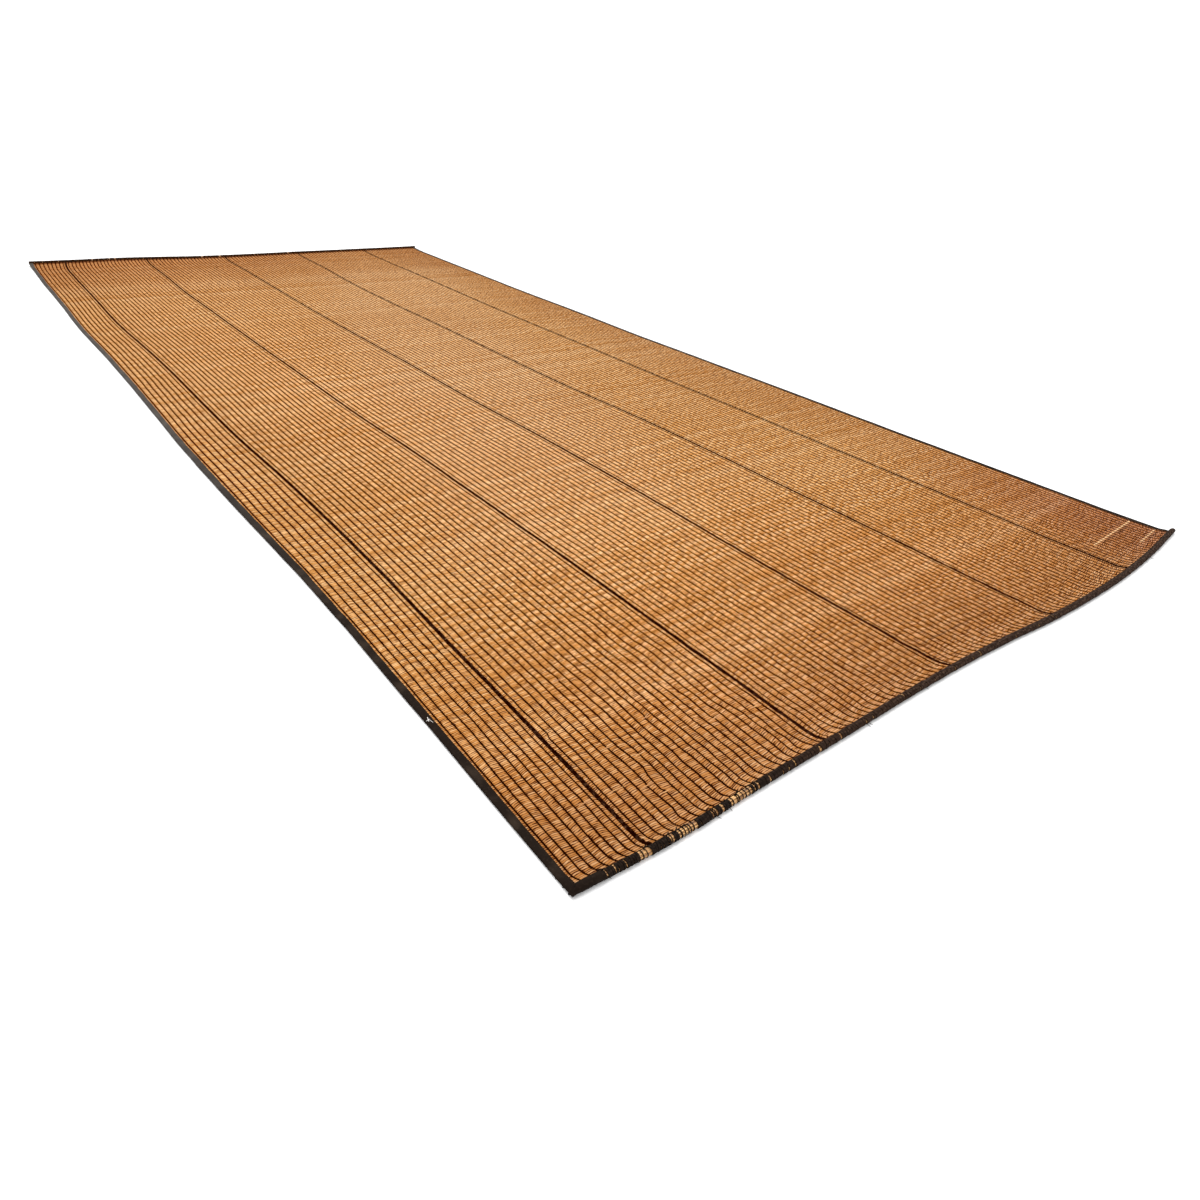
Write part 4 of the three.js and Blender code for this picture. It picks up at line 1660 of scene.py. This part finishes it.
@dataclass
class WoundRoll:
    """Bundle of reeds along a short side with leather wound round it."""

    shop: Workshop
    end: End
    stretches: tuple[Stretch, ...] = ()
    ticks: tuple[float, ...] = ()
    loops: tuple[float, ...] = ()
    knots: tuple[float, ...] = ()
    tick_gap: float = 0.0056
    knot_radius: float = 0.0050
    knot_thickness: float = 0.0009
    tip_taper: float = 0.16
    tip_droop: float = 0.004
    tip_swing: float = 0.003
    reeds_short: float = 0.004
    drift: float = 0.0005
    drift_over: float = 0.09

    AROUND = 12
    SECTION = 6
    REED_SIDES = 7
    REED_RADIUS = 0.0027
    REED_BAYS = (12, 12)
    OUTER_REEDS = 7

    def lay(self, piece: Piece, across: Array, sideways: Array, upward: Array) -> None:
        """Moves the points of a piece to places on the roll's section.

        Args:
            piece: The piece.
            across: Places across the mat.
            sideways: Distances from the roll's middle towards the mat.
            upward: Heights over the roll's middle.
        """
        plan = self.shop.plan
        to_tip = np.clip((across - plan.width) / plan.tip_overhang, 0.0, 1.5)
        distance = plan.roll / 2 + sideways + self.tip_swing * to_tip
        along = distance if self.end is End.NEAR else plan.length - distance
        drooped = self.tip_droop * to_tip**2
        self.shop.lay(piece, across, along, np.maximum(plan.roll / 2 + upward - drooped, 0.0))

    def core(self) -> None:
        """Models the bundle of reeds inside."""
        plan, size = self.shop.plan, self.REED_RADIUS
        start = plan.roll + 0.002
        overhang = plan.tip_overhang if self.end is End.NEAR else 0.0
        stop = plan.width + overhang - self.reeds_short
        radius = plan.roll / 2 - plan.wound_leather - size
        turns = [k * math.pi / 3.5 for k in range(self.OUTER_REEDS)]
        spots = [(0.0, 0.0), *((radius * math.cos(turn), radius * math.sin(turn)) for turn in turns)]
        pattern = Bench.rod("reed_pattern", self.REED_SIDES, self.REED_BAYS)
        x, y, z = Bench.points(pattern).T
        across = start + (stop - start) * y
        ripple = Ripple(51)
        reeds = []
        for k, (sideways, upward) in enumerate(spots):
            reed = Bench.copy(pattern)
            side = sideways + self.drift * ripple.at(k * 3.3, across / self.drift_over)
            up = upward + self.drift * ripple.at(k * 3.3 + 50, across / self.drift_over)
            self.lay(reed, across, side + x * size, up + z * size)
            reeds.append(reed)
        piece = Bench.gather(pattern, reeds, f"{self.end.value}_roll_reeds", ROUND_ANGLE)
        self.shop.deliver(piece, self.shop.roll_reeds, "end_reeds", f"{self.end.value}_end_reeds")

    def turn(self, pattern: Piece, middle: float, width: float, dice: np.random.Generator) -> Piece:
        """One turn of lace round the roll.

        Args:
            pattern: Unit ring that the turn is copied from.
            middle: Place of the turn across the mat.
            width: Width of the lace.
            dice: Where its small differences come from.

        Returns:
            The turn in its place.
        """
        plan = self.shop.plan
        side, depth, angle = Bench.round_ring(pattern)
        lean = width * dice.uniform(-0.3, 0.3)
        swell = dice.uniform(-0.0002, 0.0006)
        to_tip = max(0.0, middle - plan.width) / plan.tip_overhang
        taper = 1 - self.tip_taper * to_tip**4
        radius = (plan.roll / 2 - plan.wound_leather / 2 + swell) * taper
        reach = radius + depth * plan.wound_leather / 2
        across = middle + side * width / 2 + lean * np.cos(angle)
        copy = Bench.copy(pattern)
        self.lay(copy, across, reach * np.cos(angle), reach * np.sin(angle))
        Bench.chart(copy, "turn", side, angle + dice.uniform(0, 9))
        return copy

    def wind(self, stretch: Stretch) -> None:
        """Winds lace round one stretch, turn beside turn, parted at the ticks.

        Args:
            stretch: Where it starts and ends.
        """
        dice = np.random.default_rng(round(stretch.start * 1000) + 7 * (self.end is End.FAR))
        pattern = Bench.ring("turn_pattern", self.AROUND, self.SECTION)
        inside = [tick for tick in self.ticks if stretch.start < tick < stretch.end]
        starts = [stretch.start, *(tick + self.tick_gap * dice.uniform(0.2, 0.6) for tick in inside)]
        ends = [*(tick - self.tick_gap * dice.uniform(0.2, 0.6) for tick in inside), stretch.end]
        turns = []
        for start, end in zip(starts, ends):
            count = max(1, round((end - start) / stretch.lace))
            lace = (end - start) / count
            for k in range(count):
                middle, width = start + lace * (k + 0.5), lace * dice.uniform(1.0, 1.15)
                turns.append(self.turn(pattern, middle, width, dice))
        piece = Bench.gather(pattern, turns, f"wound_{stretch.node}", ROUND_ANGLE)
        lace = self.shop.near_lace if self.end is End.NEAR else self.shop.far_lace
        self.shop.deliver(piece, lace, "wound_leather", stretch.node)

    def loop_thongs(self) -> None:
        """Models the ends of the fine thongs that loop round the bare reeds."""
        dice = np.random.default_rng(5)
        pattern = Bench.ring("loop_pattern", self.AROUND, self.SECTION)
        loops = [self.turn(pattern, place, dice.uniform(0.0018, 0.0030), dice) for place in self.loops]
        piece = Bench.gather(pattern, loops, f"{self.end.value}_thong_loops", ROUND_ANGLE)
        self.shop.deliver(piece, self.shop.near_lace, "wound_leather")

    def tied_knots(self) -> None:
        """Models small tilted loops of thong that stand up where rows end at the roll."""
        dice = np.random.default_rng(9)
        roll, thickness = self.shop.plan.roll, self.knot_thickness
        pattern = Bench.ring("knot_pattern", self.AROUND, self.SECTION)
        side, depth, angle = Bench.round_ring(pattern)
        knots = []
        for place in self.knots:
            reach = self.knot_radius * dice.uniform(0.7, 1.2) + depth * thickness
            aside = reach * np.cos(angle)
            sideways = 0.3 * roll + side * thickness + dice.uniform(-0.7, 0.7) * aside
            knot = Bench.copy(pattern)
            self.lay(knot, place + aside, sideways, 0.42 * roll + 0.8 * reach * np.sin(angle))
            Bench.chart(knot, "turn", side, angle)
            knots.append(knot)
        piece = Bench.gather(pattern, knots, f"{self.end.value}_knots", ROUND_ANGLE)
        self.shop.deliver(piece, self.shop.near_lace, "wound_leather")

    def build(self) -> None:
        """Builds the bundle, all its wound stretches, and the loops and knots on them."""
        self.core()
        for stretch in self.stretches:
            self.wind(stretch)
        if self.loops:
            self.loop_thongs()
        if self.knots:
            self.tied_knots()


@dataclass
class CornerSleeve:
    """Smooth strip of leather round the first part of the near roll."""

    shop: Workshop
    end_across: float = 0.081
    end_slant: float = 0.002
    radius: float = 0.0098
    raised: float = 0.0006
    past_mitre: float = 0.001
    creased: float = 0.0005
    seam_turn: float = -0.55 * math.pi
    wrapped: float = 1.98 * math.pi
    node: str = "near_corner_patch"

    AROUND = 28
    BAYS = 16

    def build(self) -> None:
        """Models the strip flat and wraps it round the roll."""
        shop, plan = self.shop, self.shop.plan
        piece = Bench.open_sheet("corner_sleeve", self.AROUND, self.BAYS)
        x, y, _ = Bench.points(piece).T
        angle = self.seam_turn + x * self.wrapped
        radius = self.radius - plan.leather / 2 + self.creased * Ripple(61).at(y * 7, x * 5)
        sideways = radius * np.cos(angle)
        mitre = plan.roll / 2 + sideways + self.past_mitre
        end = self.end_across - self.end_slant * np.sin(angle)
        across = mitre + (end - mitre) * y
        WoundRoll(shop, End.NEAR).lay(piece, across, sideways, radius * np.sin(angle) + self.raised)
        Bench.thicken(piece, plan.leather, 0.0)
        Bench.smooth(piece, SHEET_ANGLE)
        shop.deliver(piece, shop.binding, "binding", self.node)


@dataclass
class StrayReeds:
    """Short pale reeds that lie over the ends of the thongs they have slipped from."""

    shop: Workshop
    scattered: int = 24
    length: float = 0.034
    radius: float = 0.0015
    arch: float = 0.0010
    sunk: float = 0.0008
    flat: float = 0.8

    SIDES = 6
    BAYS = (2, 2)
    SCATTER_FROM = (0.25, 0.10)
    SCATTER_TO = (2.3, 2.0)

    def places(self) -> list[tuple[float, float]]:
        """Where the reeds lie: over the covered jogs, and here and there on other rows."""
        dice = np.random.default_rng(71)
        base = self.shop.lines.base
        spots = [(jog.across, jog.along) for jog in RowLines.JOGS if jog.covered]
        for across, along in dice.uniform(self.SCATTER_FROM, self.SCATTER_TO, (self.scattered, 2)):
            spots.append((float(base[int(np.argmin(np.abs(base - across)))]), float(along)))
        return spots

    def build(self) -> None:
        """Models one reed, copies it to every place and lays them down."""
        shop, dice = self.shop, np.random.default_rng(72)
        pattern = Bench.rod("stray_pattern", self.SIDES, self.BAYS)
        x, y, z = Bench.points(pattern).T
        share = y - 0.5
        thin = 1 - 0.5 * (2 * np.abs(share)) ** 3
        bend = self.arch * (1 - (2 * share) ** 2)
        copies = []
        for across, along in self.places():
            row = float(np.argmin(np.abs(shop.lines.base - across)))
            middle = float(shop.lines.across(row, along)) + dice.uniform(-0.004, 0.004)
            length = self.length * dice.uniform(0.75, 1.25)
            slope = dice.uniform(-0.12, 0.05)
            run = along + share * length * slope + x * self.radius * thin
            lying = shop.plan.crown - self.sunk + bend + shop.plan.climb(run)
            reed = Bench.copy(pattern)
            shop.lay(reed, middle + share * length, run, lying + z * self.radius * self.flat * thin)
            copies.append(reed)
        piece = Bench.gather(pattern, copies, "stray_reeds", ROUND_ANGLE)
        shop.deliver(piece, shop.stray_reeds, "reeds")


@dataclass(frozen=True)
class Shred:
    """A torn end of leather or a loose hair that sticks out from an edge."""

    across: float
    along: float
    turn: float
    length: float
    width: float
    height: float = 0.0010


SHREDS = (
    # Turn in degrees from the across direction
    Shred(0.002, 0.012, 200, 0.0022, 0.0080),
    Shred(0.002, 0.030, 186, 0.0018, 0.0090),
    Shred(0.002, 0.052, 178, 0.0020, 0.0090),
    Shred(0.092, 0.004, 250, 0.0045, 0.0022),
    Shred(0.366, 0.003, 280, 0.0090, 0.0012),
    Shred(0.402, 0.003, 255, 0.0080, 0.0012),
    Shred(0.865, 0.003, 262, 0.0150, 0.0012),
    Shred(0.872, 0.003, 300, 0.0110, 0.0012),
    Shred(1.120, 0.003, 285, 0.0070, 0.0012),
    Shred(2.520, 0.003, 275, 0.0120, 0.0016),
    Shred(2.470, 0.003, 250, 0.0090, 0.0012),
    Shred(2.610, 0.003, 290, 0.0090, 0.0014),
)


@dataclass
class FrayedEdges:
    """All the shreds and hairs along the edges."""

    shop: Workshop
    root: float = 0.006
    thickness: float = 0.0006
    curl: float = 0.0012
    pointed: float = 0.85
    crooked: float = 0.12

    BAYS = (2, 2)

    def build(self) -> None:
        """Models one shred, copies it to every place and lays them down."""
        pattern = Bench.lane("shred_pattern", self.BAYS, 0.6)
        x, y, z = Bench.points(pattern).T
        copies = []
        for number, shred in enumerate(SHREDS):
            turn = math.radians(shred.turn)
            reach = y * (shred.length + self.root) - self.root
            side = x * shred.width * (1 - self.pointed * y**2)
            side = side + self.crooked * shred.length * np.sin(3.0 * y + number)
            across = shred.across + reach * math.cos(turn) - side * math.sin(turn)
            along = shred.along + reach * math.sin(turn) + side * math.cos(turn)
            copy = Bench.copy(pattern)
            self.shop.lay(copy, across, along, shred.height - self.curl * 0.5 * y + z * self.thickness)
            copies.append(copy)
        piece = Bench.gather(pattern, copies, "frayed_edges")
        self.shop.deliver(piece, self.shop.binding, "binding")


@dataclass(frozen=True)
class Studio:
    """White floor, soft light, and the camera where the picture was taken from."""

    # Camera from the near left corner of the mat in metres, and its angles in degrees
    camera: tuple[float, float, float] = (-0.6125, -0.7139, 1.227)
    azimuth: float = 41.04
    pitch: float = 32.13
    roll: float = 5.02
    sensor: float = 36.0
    lens: float = 24.0
    floor_size: float = 400.0
    floor_depth: float = 0.0004
    sky: float = 1.15
    sun: float = 2.2
    sun_spread: float = 50.0
    sun_from: tuple[float, float, float] = (0.7, 1.0, 2.2)

    def build(self, origin: Array) -> None:
        """Sets up the floor, the light and the camera.

        Args:
            origin: Place of the mat's near left corner in the shared frame.
        """
        scene = bpy.context.scene
        scene.view_settings.view_transform = "Standard"
        Bench.clear()
        bpy.ops.mesh.primitive_plane_add(size=self.floor_size, location=(0, 0, -self.floor_depth))
        floor = bpy.context.object
        floor.name = "floor"
        floor.data.materials.append(PlainFinish().make())
        world = bpy.data.worlds.new("white_sky")
        world.use_nodes = True
        world.node_tree.nodes["Background"].inputs["Color"].default_value = (1, 1, 1, 1)
        world.node_tree.nodes["Background"].inputs["Strength"].default_value = self.sky
        scene.world = world
        sun = bpy.data.lights.new("soft_sun", "SUN")
        sun.energy = self.sun
        sun.angle = math.radians(self.sun_spread)
        lamp = bpy.data.objects.new("soft_sun", sun)
        lamp.rotation_mode = "QUATERNION"
        lamp.rotation_quaternion = Vector(self.sun_from).to_track_quat("Z", "Y")
        scene.collection.objects.link(lamp)
        self.add_camera(scene, origin)

    def add_camera(self, scene: bpy.types.Scene, origin: Array) -> None:
        """Adds the camera.

        Args:
            scene: The scene that looks through it.
            origin: Place of the mat's near left corner in the shared frame.
        """
        azimuth, pitch, roll = (math.radians(angle) for angle in (self.azimuth, self.pitch, self.roll))
        ahead = Vector((
            math.sin(azimuth) * math.cos(pitch),
            math.cos(azimuth) * math.cos(pitch),
            -math.sin(pitch),
        ))
        level = Vector((math.cos(azimuth), -math.sin(azimuth), 0))
        upright = level.cross(ahead)
        right = math.cos(roll) * level + math.sin(roll) * upright
        up = math.cos(roll) * upright - math.sin(roll) * level
        data = bpy.data.cameras.new("camera")
        data.sensor_width = self.sensor
        data.lens = self.lens
        data.clip_end = 1000
        camera = bpy.data.objects.new("camera", data)
        turn = Matrix((right, up, -ahead)).transposed().to_4x4()
        place = Vector((self.camera[0] + origin[0], self.camera[1] + origin[1], self.camera[2]))
        camera.matrix_world = Matrix.Translation(place) @ turn
        scene.collection.objects.link(camera)
        scene.camera = camera


def main() -> None:
    """Builds every part of the mat in order."""
    logging.basicConfig(level=logging.INFO, format="%(message)s")
    shop = Workshop()
    Studio().build(shop.lie.origin)
    borders = [0, *shop.plan.thick_lines(), shop.lines.count]
    for number, (first, last) in enumerate(zip(borders, borders[1:]), 1):
        ReedPanel(shop, number, first, last).build()
        FineThongs(shop, number, range(first + 1, last)).build()
    for number, line in enumerate(shop.plan.thick_lines(), 1):
        ThickThong(shop, number, line).build()
    for side in Side:
        Binding(shop, side).build()
    WoundRoll(shop, End.NEAR, NEAR_STRETCHES, NEAR_TICKS, NEAR_LOOPS, NEAR_KNOTS).build()
    WoundRoll(shop, End.FAR, FAR_STRETCHES).build()
    CornerSleeve(shop).build()
    StrayReeds(shop).build()
    FrayedEdges(shop).build()


if __name__ == "__main__":
    main()
